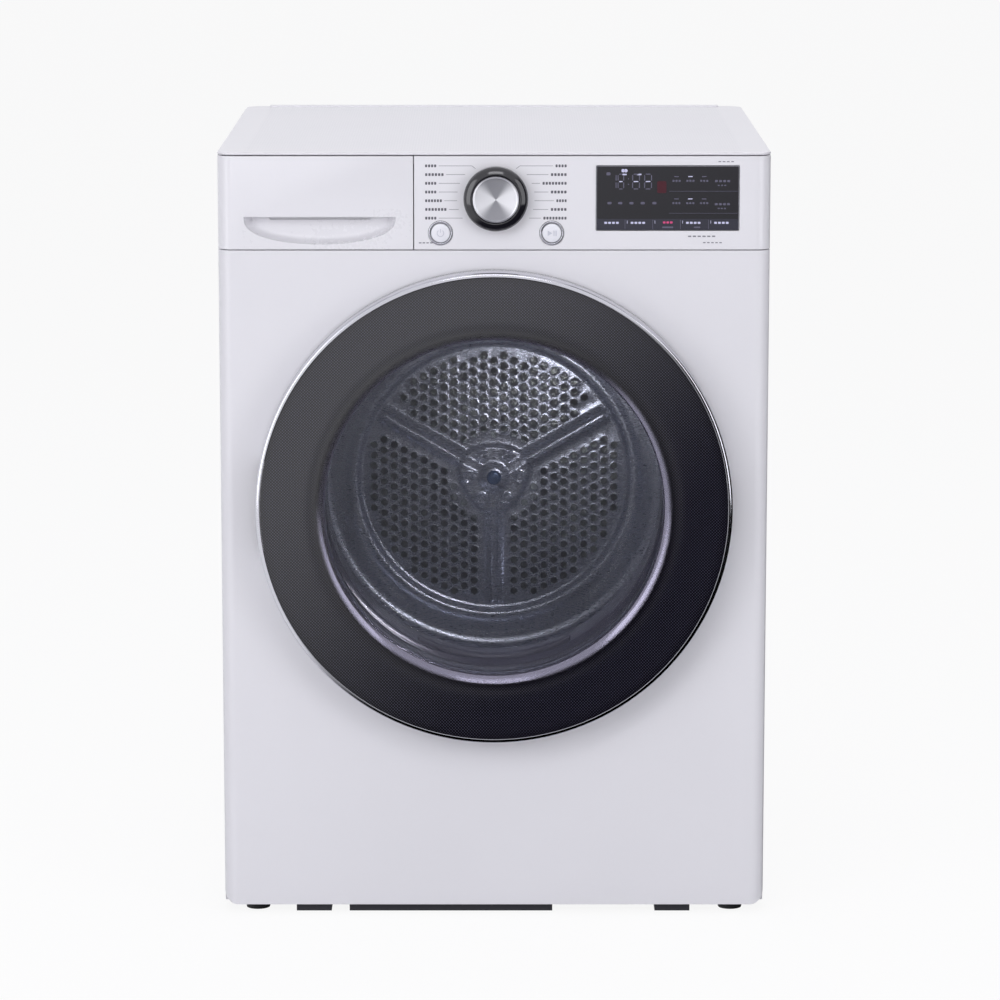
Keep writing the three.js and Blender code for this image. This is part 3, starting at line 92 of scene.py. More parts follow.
softbox("key_panel", (-2.4, -4.4, 2.7), (0, -0.3, 0.5), 2.6, 2.2, 38)
softbox("fill_panel", (2.8, -4.2, 1.7), (0, -0.3, 0.4), 2.2, 2.2, 10)
softbox("front_card", (-0.6, -6.2, 1.3), (0, -0.3, 0.6), 3.0, 2.0, 22)
softbox("top_panel", (0.0, 0.1, 3.4), (0, 0.1, 0.8), 2.4, 2.4, 27)
softbox("side_panel_left_light", (-2.6, -2.7, 1.2), (0, -0.3, 0.6), 1.5, 2.6, 26, True)
softbox("side_panel_right_light", (2.6, -2.7, 1.2), (0, -0.3, 0.6), 1.5, 2.6, 26, True)
softbox("high_card", (0.0, -3.0, 3.0), (0, -0.2, 0.3), 1.4, 0.5, 9, True)
softbox("drum_lamp", (-0.05, -0.15, 0.6), (0.03, 0.26, 0.36), 0.12, 0.08, 1.3)
softbox("drum_spark", (-0.03, -0.17, 0.57), (0, 0.26, 0.42), 0.05, 0.03, 0.05, True)
softbox("drum_floor_lamp", (0.09, -0.1, 0.5), (0.1, 0.14, 0.13), 0.08, 0.05, 0.6, True)

# The room is even, but shiny surfaces see it fade from upper left to lower right.
ROOM_LIGHT = 0.47
ROOM_BRIGHTEST = 1.0
DARK_SLANT = -0.34
BRIGHT_SLANT = 0.02
world = bpy.data.worlds.new("studio")
bpy.context.scene.world = world
world.use_nodes = True
sky = world.node_tree
sky.nodes.clear()
place = sky.nodes.new("ShaderNodeTexCoord")
split = sky.nodes.new("ShaderNodeSeparateXYZ")
slant = sky.nodes.new("ShaderNodeMath")
slant.operation = "SUBTRACT"
tone_slope = sky.nodes.new("ShaderNodeMapRange")
tone_slope.interpolation_type = "SMOOTHSTEP"
tone_slope.inputs["From Min"].default_value = DARK_SLANT
tone_slope.inputs["From Max"].default_value = BRIGHT_SLANT
tone_slope.inputs["To Min"].default_value = -ROOM_LIGHT
tone_slope.inputs["To Max"].default_value = ROOM_BRIGHTEST - ROOM_LIGHT
in_mirrors = sky.nodes.new("ShaderNodeMath")
in_mirrors.operation = "MULTIPLY_ADD"
in_mirrors.inputs[2].default_value = ROOM_LIGHT
room = sky.nodes.new("ShaderNodeBackground")
room.inputs["Color"].default_value = linear(*LAMP_COLOUR)
backdrop = sky.nodes.new("ShaderNodeBackground")
backdrop.inputs["Color"].default_value = (1, 1, 1, 1)
backdrop.inputs["Strength"].default_value = BACKDROP_GLOW
rays = sky.nodes.new("ShaderNodeLightPath")
choose = sky.nodes.new("ShaderNodeMixShader")
surroundings = sky.nodes.new("ShaderNodeOutputWorld")
sky.links.new(place.outputs["Generated"], split.inputs[0])
sky.links.new(split.outputs["Z"], slant.inputs[0])
sky.links.new(split.outputs["X"], slant.inputs[1])
sky.links.new(slant.outputs[0], tone_slope.inputs["Value"])
sky.links.new(tone_slope.outputs[0], in_mirrors.inputs[0])
sky.links.new(rays.outputs["Is Glossy Ray"], in_mirrors.inputs[1])
sky.links.new(in_mirrors.outputs[0], room.inputs["Strength"])
sky.links.new(rays.outputs["Is Camera Ray"], choose.inputs[0])
sky.links.new(room.outputs[0], choose.inputs[1])
sky.links.new(backdrop.outputs[0], choose.inputs[2])
sky.links.new(choose.outputs[0], surroundings.inputs["Surface"])

# The floor looks white and throws soft white light up under the machine.
FLOOR_GLOW_SHARE = 0.86
floor_paper = bpy.data.materials.new("studio_floor")
floor_paper.use_nodes = True
paper = floor_paper.node_tree
matt = paper.nodes["Principled BSDF"]
matt.inputs["Base Color"].default_value = linear(206, 206, 209)
matt.inputs["Roughness"].default_value = 0.9
matt.inputs["Specular IOR Level"].default_value = 0.0
bright_paper = paper.nodes.new("ShaderNodeEmission")
bright_paper.inputs["Strength"].default_value = BACKDROP_GLOW
lit_share = paper.nodes.new("ShaderNodeMath")
lit_share.operation = "MULTIPLY"
lit_share.inputs[1].default_value = FLOOR_GLOW_SHARE
rays = paper.nodes.new("ShaderNodeLightPath")
both = paper.nodes.new("ShaderNodeMixShader")
paper.links.new(rays.outputs["Is Camera Ray"], lit_share.inputs[0])
paper.links.new(lit_share.outputs[0], both.inputs[0])
paper.links.new(matt.outputs[0], both.inputs[1])
paper.links.new(bright_paper.outputs[0], both.inputs[2])
paper.links.new(both.outputs[0], paper.nodes["Material Output"].inputs["Surface"])

floor_mesh = bpy.data.meshes.new("floor")
floor_mesh.from_pydata([(-30, -30, 0), (30, -30, 0), (30, 60, 0), (-30, 60, 0)], [], [(0, 1, 2, 3)])
floor_mesh.materials.append(floor_paper)
floor = add_object("floor", floor_mesh)
floor.visible_glossy = False

# ---------------------------------------------------------------------------------------------
# Front panel.
# One sheet of pressed steel, powder coated white, with round outer corners, a round hole for
# loading and a slot for the door's strike. Its edges fold back to meet the side panels.

MM = 0.001
HALF_WIDTH = 300
FRONT = -285
RETURN_EDGE = -265
CORNER_RADIUS = 16
LOWER_CORNER_RADIUS = 15
PANEL_BOTTOM = 10
PANEL_TOP = 742
SHEET = 1.5
DOOR_Z = 462
PANEL_HOLE_RADIUS = 196
STRIKE_SLOT_LEFT = -236
STRIKE_SLOT_RIGHT = -214
STRIKE_SLOT_HALF_HEIGHT = 12
FULL_TURN = 2 * math.pi


def effect(name, inputs, outputs):
    """An empty shader node group with number inputs and outputs, and its entry and exit nodes."""
    group = bpy.data.node_groups.new(name, "ShaderNodeTree")
    for label, value in inputs.items():
        socket = group.interface.new_socket(label, in_out="INPUT", socket_type="NodeSocketFloat")
        socket.default_value = value
    for label in outputs:
        group.interface.new_socket(label, in_out="OUTPUT", socket_type="NodeSocketFloat")
    return group, group.nodes.new("NodeGroupInput"), group.nodes.new("NodeGroupOutput")


def math_node(tree, operation, *values):
    """A Math node whose inputs are numbers or other nodes' outputs; gives its output."""
    node = tree.nodes.new("ShaderNodeMath")
    node.operation = operation
    for socket, value in zip(node.inputs, values):
        if isinstance(value, (int, float)):
            socket.default_value = value
        else:
            tree.links.new(value, socket)
    return node.outputs[0]


def ramp_node(tree, value, low, high, start=0.0, end=1.0, smooth=True):
    """Maps a value from low..high to start..end, and holds it outside; gives the output."""
    node = tree.nodes.new("ShaderNodeMapRange")
    node.interpolation_type = "SMOOTHSTEP" if smooth else "LINEAR"
    for socket, number in zip(list(node.inputs)[1:5], (low, high, start, end)):
        socket.default_value = number
    tree.links.new(value, node.inputs["Value"])
    return node.outputs[0]


def noise_node(tree, vector, scale, detail=2.0):
    node = tree.nodes.new("ShaderNodeTexNoise")
    node.inputs["Detail"].default_value = detail
    if isinstance(scale, (int, float)):
        node.inputs["Scale"].default_value = scale
    else:
        tree.links.new(scale, node.inputs["Scale"])
    tree.links.new(vector, node.inputs["Vector"])
    return node.outputs[0]


def place_node(tree):
    return tree.nodes.new("ShaderNodeTexCoord").outputs["Object"]


# Fine grain: a bumpy skin whose bumps are Size millimetres across.
grain_group, entry, way_out = effect("Fine grain", {"Size": 1.0}, ["Height"])
grain_scale = math_node(grain_group, "DIVIDE", 1000.0, entry.outputs["Size"])
grain_group.links.new(
    noise_node(grain_group, place_node(grain_group), grain_scale, 3.0), way_out.inputs["Height"])

# Uneven tone: slow change over a hand's width, with a little fine dust in it.
tone_group, entry, way_out = effect("Uneven tone", {"Dust": 0.25}, ["Tone"])
slow = noise_node(tone_group, place_node(tone_group), 6.0, 3.0)
fine = noise_node(tone_group, place_node(tone_group), 260.0, 2.0)
mixed = math_node(tone_group, "MULTIPLY_ADD", fine, entry.outputs["Dust"], slow)
tone_group.links.new(math_node(tone_group, "SUBTRACT", mixed, 0.1), way_out.inputs["Tone"])


def add_group(tree, group, **values):
    node = tree.nodes.new("ShaderNodeGroup")
    node.node_tree = group
    for label, value in values.items():
        node.inputs[label].default_value = value
    return node


def blend_node(tree, share, first, second):
    """Two colours mixed by a share, which is a node's output."""
    node = tree.nodes.new("ShaderNodeMix")
    node.data_type = "RGBA"
    tree.links.new(share, node.inputs[0])
    for socket, value in ((node.inputs[6], first), (node.inputs[7], second)):
        if isinstance(value, (list, tuple)):
            socket.default_value = value
        else:
            tree.links.new(value, socket)
    return node.outputs[2]


def finish(name, color, roughness, metallic=0.0, grain=(1.0, 0.0), tone=0.04, **settings):
    """A material with an uneven tone, an uneven gloss and a grain given as (size, height) in mm."""
    made = bpy.data.materials.new(name)
    made.use_nodes = True
    tree = made.node_tree
    shader = tree.nodes["Principled BSDF"]
    shader.inputs["Metallic"].default_value = metallic
    for label, value in settings.items():
        shader.inputs[label.replace("_", " ")].default_value = value
    uneven = add_group(tree, tone_group, Dust=0.25).outputs["Tone"]
    dark = linear(*[max(0, c * (1 - tone)) for c in color])
    light = linear(*[min(255, c * (1 + tone)) for c in color])
    tree.links.new(blend_node(tree, uneven, dark, light), shader.inputs["Base Color"])
    gloss = ramp_node(tree, uneven, 0.2, 0.9, roughness * 0.88, roughness * 1.12)
    tree.links.new(gloss, shader.inputs["Roughness"])
    if grain[1]:
        bump = tree.nodes.new("ShaderNodeBump")
        bump.inputs["Distance"].default_value = grain[1] * MM
        bump.inputs["Strength"].default_value = 1.0
        skin = add_group(tree, grain_group, Size=grain[0])
        tree.links.new(skin.outputs["Height"], bump.inputs["Height"])
        tree.links.new(bump.outputs[0], shader.inputs["Normal"])
    return made


cabinet_paint = finish(
    "cabinet_paint", (228, 227, 231), 0.42, grain=(1.6, 0.012), tone=0.008,
    Coat_Weight=0.25, Coat_Roughness=0.2)


def build(name, points, faces, material, sharp=32):
    """A mesh object from points in millimetres, smooth except at edges sharper than an angle."""
    mesh = bpy.data.meshes.new(name)
    mesh.from_pydata([Vector(p) * MM for p in points], [], faces)
    mesh.validate()
    soften(mesh, sharp)
    if material:
        mesh.materials.append(material)
    return add_object(name, mesh)


def soften(mesh, sharp):
    tidy = bmesh.new()
    tidy.from_mesh(mesh)
    bmesh.ops.recalc_face_normals(tidy, faces=tidy.faces)
    for face in tidy.faces:
        face.smooth = True
    tidy.to_mesh(mesh)
    tidy.free()
    mesh.set_sharp_from_angle(angle=math.radians(sharp))


def round_edges(thing, width, segments=2, angle=35):
    bevel = thing.modifiers.new("Rounded edges", "BEVEL")
    bevel.width = width * MM
    bevel.segments = segments
    bevel.limit_method = "ANGLE"
    bevel.angle_limit = math.radians(angle)
    bevel.harden_normals = True
    return thing


def settle(thing, body, slot, *nodes):
    """Says which body a piece moves with and the solids it stands for; the material slot given is not used.
    """
    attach(thing, body)
    if nodes:
        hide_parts(*nodes)
    return thing


def arc(x, y, radius, start, end, steps):
    """Points on an arc, with its angles in degrees."""
    angles = [math.radians(start + (end - start) * i / steps) for i in range(steps + 1)]
    return [(x + radius * math.cos(a), y + radius * math.sin(a)) for a in angles]


def rounded(xa, xb, ya, yb, radii, steps=8):
    """A rectangle with its own radius at each corner, from low left round to high left."""
    places = ((xa, ya, 1, 1, 180), (xb, ya, -1, 1, 270), (xb, yb, -1, -1, 0), (xa, yb, 1, -1, 90))
    outline = []
    for (x, y, inward_x, inward_y, start), radius in zip(places, radii):
        if radius:
            centre = (x + inward_x * radius, y + inward_y * radius)
            outline += arc(*centre, radius, start, start + 90, steps)
        else:
            outline.append((x, y))
    return outline


def prism(outline, low, high, along):
    """The points and faces of an outline pushed from low to high along X, Y or Z."""
    lift = {"X": lambda a, b, h: (h, a, b), "Y": lambda a, b, h: (a, h, b), "Z": lambda a, b, h: (a, b, h)}
    points = [lift[along](a, b, h) for h in (low, high) for a, b in outline]
    count = len(outline)
    sides = [(i, (i + 1) % count, count + (i + 1) % count, count + i) for i in range(count)]
    return points, sides + [tuple(range(count)), tuple(range(count, 2 * count))]


def carve(target, shape, kind="DIFFERENCE"):
    """Cuts a prism's points and faces out of a piece, or keeps or adds what they share."""
    cutter = build("cutter", *shape, None)
    step = target.modifiers.new("Cut", "BOOLEAN")
    step.operation = kind
    step.solver = "EXACT"
    step.object = cutter
    done = target.evaluated_get(bpy.context.evaluated_depsgraph_get())
    mesh = bpy.data.meshes.new_from_object(done)
    target.modifiers.clear()
    target.data = mesh
    bpy.data.objects.remove(cutter)
    soften(mesh, 32)
    return target


def circle(x, z, radius, steps=96):
    return arc(x, z, radius, 0, 360, steps)[:-1]


def front_plan(left, right, back, inset):
    """The outline from above of a front piece, rounded where it meets the cabinet's side."""
    outline = [(right - inset, back), (left + inset, back)]
    if left == -HALF_WIDTH:
        radius = CORNER_RADIUS
        outline += arc(left + radius, FRONT + radius, radius - inset, 180, 270, 12)
    else:
        outline.append((left + inset, FRONT + inset))
    if right == HALF_WIDTH:
        radius = CORNER_RADIUS
        outline += arc(right - radius, FRONT + radius, radius - inset, 270, 360, 12)
    else:
        outline.append((right - inset, FRONT + inset))
    return outline


def front_shell(name, left, right, bottom, top, wall, low, material):
    """A front piece as a shell, open at the back, with rounded lower corners where low isn't 0."""
    shell = build(name, *prism(front_plan(left, right, RETURN_EDGE, 0), bottom, top, "Z"), material)
    if low:
        face = rounded(left, right, bottom, top + 5, (low, low, 0, 0), 10)
        carve(shell, prism(face, FRONT - 5, RETURN_EDGE + 5, "Y"), "INTERSECT")
    plan = front_plan(left, right, RETURN_EDGE + 1, wall)
    carve(shell, prism(plan, bottom + wall, top - wall, "Z"))
    return shell


front_panel = front_shell(
    "front_panel_sheet", -HALF_WIDTH, HALF_WIDTH, PANEL_BOTTOM, PANEL_TOP, SHEET,
    LOWER_CORNER_RADIUS, cabinet_paint)
carve(front_panel, prism(circle(0, DOOR_Z, PANEL_HOLE_RADIUS), FRONT - 1, RETURN_EDGE, "Y"))
strike_slot = rounded(
    STRIKE_SLOT_LEFT, STRIKE_SLOT_RIGHT, DOOR_Z - STRIKE_SLOT_HALF_HEIGHT,
    DOOR_Z + STRIKE_SLOT_HALF_HEIGHT, (2, 2, 2, 2), 4)
carve(front_panel, prism(strike_slot, FRONT - 1, FRONT + 5, "Y"))
round_edges(front_panel, 0.6)
settle(front_panel, "root", "cabinet_paint", "front_panel")

# ---------------------------------------------------------------------------------------------
# Top plate.
# A white sheet with a soft lip over the control strip and a raised trim strip along the rear.
# Its middle has a fine pressed dot pattern, and a plain margin runs round it.

WORKTOP = 848.5
WORKTOP_LIP = 3
WORKTOP_REAR = 315
WORKTOP_REAR_RADIUS = 20
TRIM_HALF_WIDTH = 272
TRIM_DEPTH = 15
TRIM_TOP = 850
SKIRT_LOW = 833.5
SKIRT_HALF = 298
SKIRT_FRONT = -262.2
SKIRT_BACK = 311.4
SKIRT_WALL = 2.5
PATTERN_HALF_WIDTH = 268
PATTERN_FRONT = -268
PATTERN_BACK = 290

# Dot screen: round dots Pitch apart in a slanting grid, with a radius as a share of the pitch.
dot_group, entry, way_out = effect("Dot screen", {"Pitch": 2.3, "Radius": 0.3}, ["Dots", "Edge"])
spread = dot_group.nodes.new("ShaderNodeSeparateXYZ")
dot_group.links.new(place_node(dot_group), spread.inputs[0])
across = spread.outputs["X"]
upward = math_node(dot_group, "ADD", spread.outputs["Y"], spread.outputs["Z"])
pitch = math_node(dot_group, "MULTIPLY", entry.outputs["Pitch"], MM * math.sqrt(2))
offsets = []
for kind in ("ADD", "SUBTRACT"):
    slanted = math_node(dot_group, "DIVIDE", math_node(dot_group, kind, across, upward), pitch)
    wrapped = math_node(dot_group, "SUBTRACT", math_node(dot_group, "FRACT", slanted), 0.5)
    offsets.append(math_node(dot_group, "POWER", math_node(dot_group, "ABSOLUTE", wrapped), 2.0))
away = math_node(dot_group, "SQRT", math_node(dot_group, "ADD", *offsets))
shortfall = math_node(dot_group, "SUBTRACT", entry.outputs["Radius"], away)
dot_group.links.new(
    ramp_node(dot_group, shortfall, -0.06, 0.06), way_out.inputs["Dots"])
dot_group.links.new(ramp_node(dot_group, away, 0.1, 0.5, 1.0, 0.0), way_out.inputs["Edge"])


def within(tree, value, low, high, edge):
    """1 between low and high, falling to 0 over edge outside them."""
    rise = ramp_node(tree, value, low - edge, low)
    fall = ramp_node(tree, value, high, high + edge, 1.0, 0.0)
    return math_node(tree, "MULTIPLY", rise, fall)


worktop_paint = finish(
    "worktop_paint", (227, 226, 230), 0.4, tone=0.008, Coat_Weight=0.2, Coat_Roughness=0.25)
tree = worktop_paint.node_tree
shader = tree.nodes["Principled BSDF"]
spread = tree.nodes.new("ShaderNodeSeparateXYZ")
tree.links.new(place_node(tree), spread.inputs[0])
field = math_node(
    tree, "MULTIPLY",
    within(tree, spread.outputs["X"], -PATTERN_HALF_WIDTH * MM, PATTERN_HALF_WIDTH * MM, 0.004),
    within(tree, spread.outputs["Y"], PATTERN_FRONT * MM, PATTERN_BACK * MM, 0.004))
dots = add_group(tree, dot_group, Pitch=4.2, Radius=0.3)
printed = math_node(tree, "MULTIPLY", dots.outputs["Dots"], field)
plain = shader.inputs["Base Color"].links[0].from_socket
darker = math_node(tree, "MULTIPLY", printed, 0.35)
tree.links.new(blend_node(tree, darker, plain, linear(196, 196, 204)), shader.inputs["Base Color"])
bump = tree.nodes.new("ShaderNodeBump")
bump.inputs["Distance"].default_value = 0.12 * MM
tree.links.new(math_node(tree, "MULTIPLY", dots.outputs["Edge"], field), bump.inputs["Height"])
tree.links.new(bump.outputs[0], shader.inputs["Normal"])


plate_outline = rounded(
    -HALF_WIDTH, HALF_WIDTH, FRONT, WORKTOP_REAR,
    (CORNER_RADIUS, CORNER_RADIUS, WORKTOP_REAR_RADIUS, WORKTOP_REAR_RADIUS), 10)
top_plate = build(
    "top_plate_sheet", *prism(plate_outline, WORKTOP - WORKTOP_LIP, WORKTOP, "Z"), worktop_paint)
round_edges(top_plate, 1.2, 3)
settle(top_plate, "root", "cabinet_paint", "top_plate")

trim_outline = rounded(
    -TRIM_HALF_WIDTH, TRIM_HALF_WIDTH, WORKTOP_REAR - TRIM_DEPTH, WORKTOP_REAR, (4, 4, 1, 1), 5)
rear_trim = build("worktop_rear_trim", *prism(trim_outline, WORKTOP - 1, TRIM_TOP, "Z"), cabinet_paint)
round_edges(rear_trim, 0.6)
settle(rear_trim, "root", "cabinet_paint")

skirt_outline = rounded(-SKIRT_HALF, SKIRT_HALF, SKIRT_FRONT, SKIRT_BACK, (3, 3, 3, 3), 3)
skirt = build("worktop_skirt", *prism(skirt_outline, SKIRT_LOW, WORKTOP - WORKTOP_LIP, "Z"), cabinet_paint)
skirt_hollow = rounded(
    -SKIRT_HALF + SKIRT_WALL, SKIRT_HALF - SKIRT_WALL, SKIRT_FRONT + SKIRT_WALL,
    SKIRT_BACK - SKIRT_WALL, (1, 1, 1, 1), 3)
carve(skirt, prism(skirt_hollow, SKIRT_LOW - 1, WORKTOP, "Z"))
settle(skirt, "root", "cabinet_paint")

# ---------------------------------------------------------------------------------------------
# Control fascia.
# A moulded white shell, glossier than the steel, with openings for the display, the knob's shaft
# and the two buttons. The programme lines and marks are printed on it in grey.

CONTROL_BOTTOM = 743
CONTROL_TOP = 844.5
MOULDING_WALL = 2.5
SPLIT_X = -87
SEAM = 1
KNOB_X = 2
KNOB_Z = 799
BUTTON_Z = 761
BUTTON_RADIUS = 10.5
BEZEL_RADIUS = 13.2
BUTTONS = {"power": -58, "start": 62.6}
WINDOW = (110.5, 265.5, 763.75, 834.25)
PRINT_PROUD = 0.05

white_moulding = finish(
    "white_moulding", (230, 229, 233), 0.3, grain=(0.9, 0.004), tone=0.006,
    Coat_Weight=0.3, Coat_Roughness=0.12)
print_grey = finish("print_grey", (128, 127, 136), 0.5, grain=(0.3, 0.004), tone=0.05)
print_dark = finish("print_dark", (92, 91, 99), 0.5, grain=(0.3, 0.004), tone=0.05)

fascia = front_shell(
    "control_fascia_shell", SPLIT_X + SEAM / 2, HALF_WIDTH, CONTROL_BOTTOM, CONTROL_TOP,
    MOULDING_WALL, 0, white_moulding)
window_gap = 0.3
window_outline = rounded(
    WINDOW[0] - window_gap, WINDOW[1] + window_gap, WINDOW[2] - window_gap, WINDOW[3] + window_gap,
    (1.5, 1.5, 1.5, 1.5), 4)
carve(fascia, prism(window_outline, FRONT - 1, FRONT + 6, "Y"))
carve(fascia, prism(circle(KNOB_X, KNOB_Z, 12.5, 48), FRONT - 1, FRONT + 6, "Y"))
for button_x in BUTTONS.values():
    carve(fascia, prism(circle(button_x, BUTTON_Z, BEZEL_RADIUS + 0.3, 64), FRONT - 1, FRONT + 6, "Y"))
round_edges(fascia, 0.6)
settle(fascia, "root", "white_moulding", "control_fascia")


def flat_marks(name, outlines, material, front=FRONT - PRINT_PROUD, thick=0.04):
    """Flat printed shapes as thin raised patches in one mesh."""
    points = []
    faces = []
    for outline in outlines:
        start = len(points)
        more, sides = prism(outline, front, front + thick, "Y")
        points += more
        faces += [tuple(start + i for i in side) for side in sides]
    return build(name, points, faces, material)


def bar_outline(x, z, width, height, radius=0.3):
    return rounded(
        x - width / 2, x + width / 2, z - height / 2, z + height / 2, (radius,) * 4, 3)


def stroke(points, width):
    """A line of constant width through points, as short rectangles."""
    outlines = []
    for (xa, za), (xb, zb) in zip(points, points[1:]):
        length = math.hypot(xb - xa, zb - za)
        nx = -(zb - za) / length * width / 2
        nz = (xb - xa) / length * width / 2
        outlines.append([(xa + nx, za + nz), (xa - nx, za - nz), (xb - nx, zb - nz), (xb + nx, zb + nz)])
    return outlines


PROGRAM_ROWS = 7
PROGRAM_TOP = 834
PROGRAM_PITCH = 9.45
LABEL_LEFT_EDGE = -75
LABEL_RIGHT_EDGE = 79
LABEL_HEIGHT = 3.0
LABEL_GAP = 2.2
LEFT_LENGTHS = (13, 21, 13, 13, 19, 24, 13)
RIGHT_LENGTHS = (13, 18, 27, 18, 12, 18, 26)
marks = []
labels = []


def label_bars(start, z, length):
    """A stand-in for a printed word: short upright-edged bars, about one to a letter."""
    count = max(3, round(length / 3.4))
    step = length / count
    return [bar_outline(start + (i + 0.5) * step, z, step * 0.7, LABEL_HEIGHT, 0.6) for i in range(count)]


for row in range(PROGRAM_ROWS):
    z = PROGRAM_TOP - row * PROGRAM_PITCH
    rise = z - KNOB_Z
    near = math.sqrt(max(42 ** 2 - rise ** 2, 26 ** 2))
    left_end = LABEL_LEFT_EDGE + LEFT_LENGTHS[row] + LABEL_GAP
    right_start = LABEL_RIGHT_EDGE - RIGHT_LENGTHS[row]
    for side, far in ((-1, left_end), (1, right_start - LABEL_GAP)):
        points = [(KNOB_X + side * near, z), (far, z)]
        if row == 0:
            points.insert(0, (KNOB_X + side * (near - 4), z - 3))
        marks += stroke(points, 0.5)
    labels += label_bars(LABEL_LEFT_EDGE, z, LEFT_LENGTHS[row])
    labels += label_bars(right_start, z, RIGHT_LENGTHS[row])
leaders = flat_marks("program_leader_lines", marks, print_grey)
settle(leaders, "root", "white_moulding")
label_marks = flat_marks("program_label_marks", labels, print_dark)
settle(label_marks, "root", "white_moulding")

# Two rows of plain dashes stand below and above the display.
notes = [bar_outline(244 + 4.6 * i, 838.6, 3.0, 1.1, 0.4) for i in range(4)]
notes += [bar_outline(212 + 5.2 * i, 757.5, 3.6, 1.5, 0.5) for i in range(6)]
notes += [bar_outline(228 + 4.4 * i, 750.6, 2.8, 1.2, 0.4) for i in range(5)]
notes += [bar_outline(-80 + 4.0 * i, 750.4, 2.8, 1.2, 0.4) for i in range(4)]
note_marks = flat_marks("fascia_note_marks", notes, print_grey)
settle(note_marks, "root", "white_moulding")

# ---------------------------------------------------------------------------------------------
# Tank drawer front and tank.
# The drawer front is the same white moulding with a deep scoop, sunk below a flat brow, and a
# finger slot above it. The grey blown tank behind it slides in the tunnel.

SCOOP_MIDDLE = -189
SCOOP_HALF = 82.5
SCOOP_SILL = 748.5
SCOOP_BROW = 778.5
SCOOP_DEPTH = 14
SLOT_HALF = 55
SLOT_DEPTH = 3

drawer = front_shell(
    "tank_drawer_front_shell", -HALF_WIDTH, SPLIT_X - SEAM / 2, CONTROL_BOTTOM, CONTROL_TOP,
    MOULDING_WALL, 0, white_moulding)
housing = rounded(
    SCOOP_MIDDLE - SCOOP_HALF - 4, SCOOP_MIDDLE + SCOOP_HALF + 4, CONTROL_BOTTOM + 1,
    SCOOP_BROW + 16, (3, 3, 3, 3), 4)
round_edges(drawer, 0.6)
carve(drawer, prism(housing, FRONT + 1, FRONT + SCOOP_DEPTH + SLOT_DEPTH + MOULDING_WALL, "Y"), "UNION")


def scoop_shape():
    """The scoop as a cutter: full at the brow, with its sill curving up towards both ends."""
    steps = 48
    layers = 8
    points = []
    for layer in range(layers + 1):
        depth = layer / layers
        y = FRONT - 1 + (SCOOP_DEPTH + 1) * depth
        shrink = 1 - 0.1 * depth ** 2
        lift = 9 * (1 - math.sqrt(max(0.0, 1 - depth ** 2)))
        for i in range(steps + 1):
            angle = math.pi * i / steps
            x = SCOOP_MIDDLE - SCOOP_HALF * shrink * math.cos(angle)
            drop = (SCOOP_BROW - SCOOP_SILL - lift) * abs(math.sin(angle)) ** 0.75
            points.append((x, y, SCOOP_BROW - drop))
    row = steps + 1
    faces = [(a * row + i, a * row + i + 1, (a + 1) * row + i + 1, (a + 1) * row + i)
             for a in range(layers) for i in range(steps)]
    faces += [tuple(range(row)), tuple(layers * row + i for i in range(row))]
    faces += [(a * row, (a + 1) * row, (a + 1) * row + steps, a * row + steps) for a in range(layers)]
    return points, faces


carve(drawer, scoop_shape())
finger_slot = rounded(
    SCOOP_MIDDLE - SLOT_HALF, SCOOP_MIDDLE + SLOT_HALF, SCOOP_BROW - 4.5, SCOOP_BROW + 12, (2, 2, 3, 3), 3)
carve(drawer, prism(finger_slot, FRONT + 5, FRONT + SCOOP_DEPTH + SLOT_DEPTH, "Y"))
soften(drawer.data, 25)
settle(drawer, "tank_drawer", "white_moulding", "drawer_front")

# ---------------------------------------------------------------------------------------------
# Program knob.
# A gloss black ring pressed round a turned aluminium cap. The cap's face is cut in fine rings, and the
# light they throw in four sectors is a painted reflection in its colour. Its edge has a bright narrow
# chamfer.

KNOB_RADIUS = 35
CAP_RADIUS = 25
KNOB_FRONT = -305


def lathe(outline, steps=96, x=0.0, z=0.0, start=0.0, sweep=360.0):
    """The points and faces of a [radius, y] outline turned about an axis along Y."""
    full = sweep == 360
    count = len(outline)
    rows = steps if full else steps + 1
    points = []
    for i in range(rows):
        angle = math.radians(start + sweep * i / steps)
        points += [(x + r * math.sin(angle), y, z - r * math.cos(angle)) for r, y in outline]
    faces = []
    for i in range(steps):
        here = i * count
        there = ((i + 1) % rows) * count
        for j in range(count - 1):
            corners = [here + j, here + j + 1, there + j + 1, there + j]
            if outline[j][0] < 1e-6:
                corners = [here + j, here + j + 1, there + j + 1]
            elif outline[j + 1][0] < 1e-6:
                corners = [here + j, here + j + 1, there + j]
            faces.append(tuple(corners))
    return points, faces


def weld(thing, gap=0.002):
    tidy = bmesh.new()
    tidy.from_mesh(thing.data)
    bmesh.ops.remove_doubles(tidy, verts=tidy.verts, dist=gap * MM)
    bmesh.ops.recalc_face_normals(tidy, faces=tidy.faces)
    tidy.to_mesh(thing.data)
    tidy.free()
    thing.data.set_sharp_from_angle(angle=math.radians(32))
    return thing


def closed(outline):
    return [*outline, outline[0]]


def curve_corner(before, corner, after, size, steps=4):
    """A corner of an outline replaced by a short curve of the given size."""
    b, c, a = Vector(before), Vector(corner), Vector(after)
    start = c + (b - c).normalized() * size
    end = c + (a - c).normalized() * size
    points = []
    for i in range(steps + 1):
        t = i / steps
        point = start * (1 - t) ** 2 + c * 2 * t * (1 - t) + end * t ** 2
        points.append((point.x, point.y))
    return points


def smoothed(outline, size, steps=3):
    """An open outline with every inner corner curved by size, or by less where it is short."""
    points = [outline[0]]
    for before, corner, after in zip(outline, outline[1:], outline[2:]):
        room = min((Vector(before) - Vector(corner)).length, (Vector(after) - Vector(corner)).length)
        points += curve_corner(before, corner, after, min(size, room * 0.45), steps)
    return points + [outline[-1]]


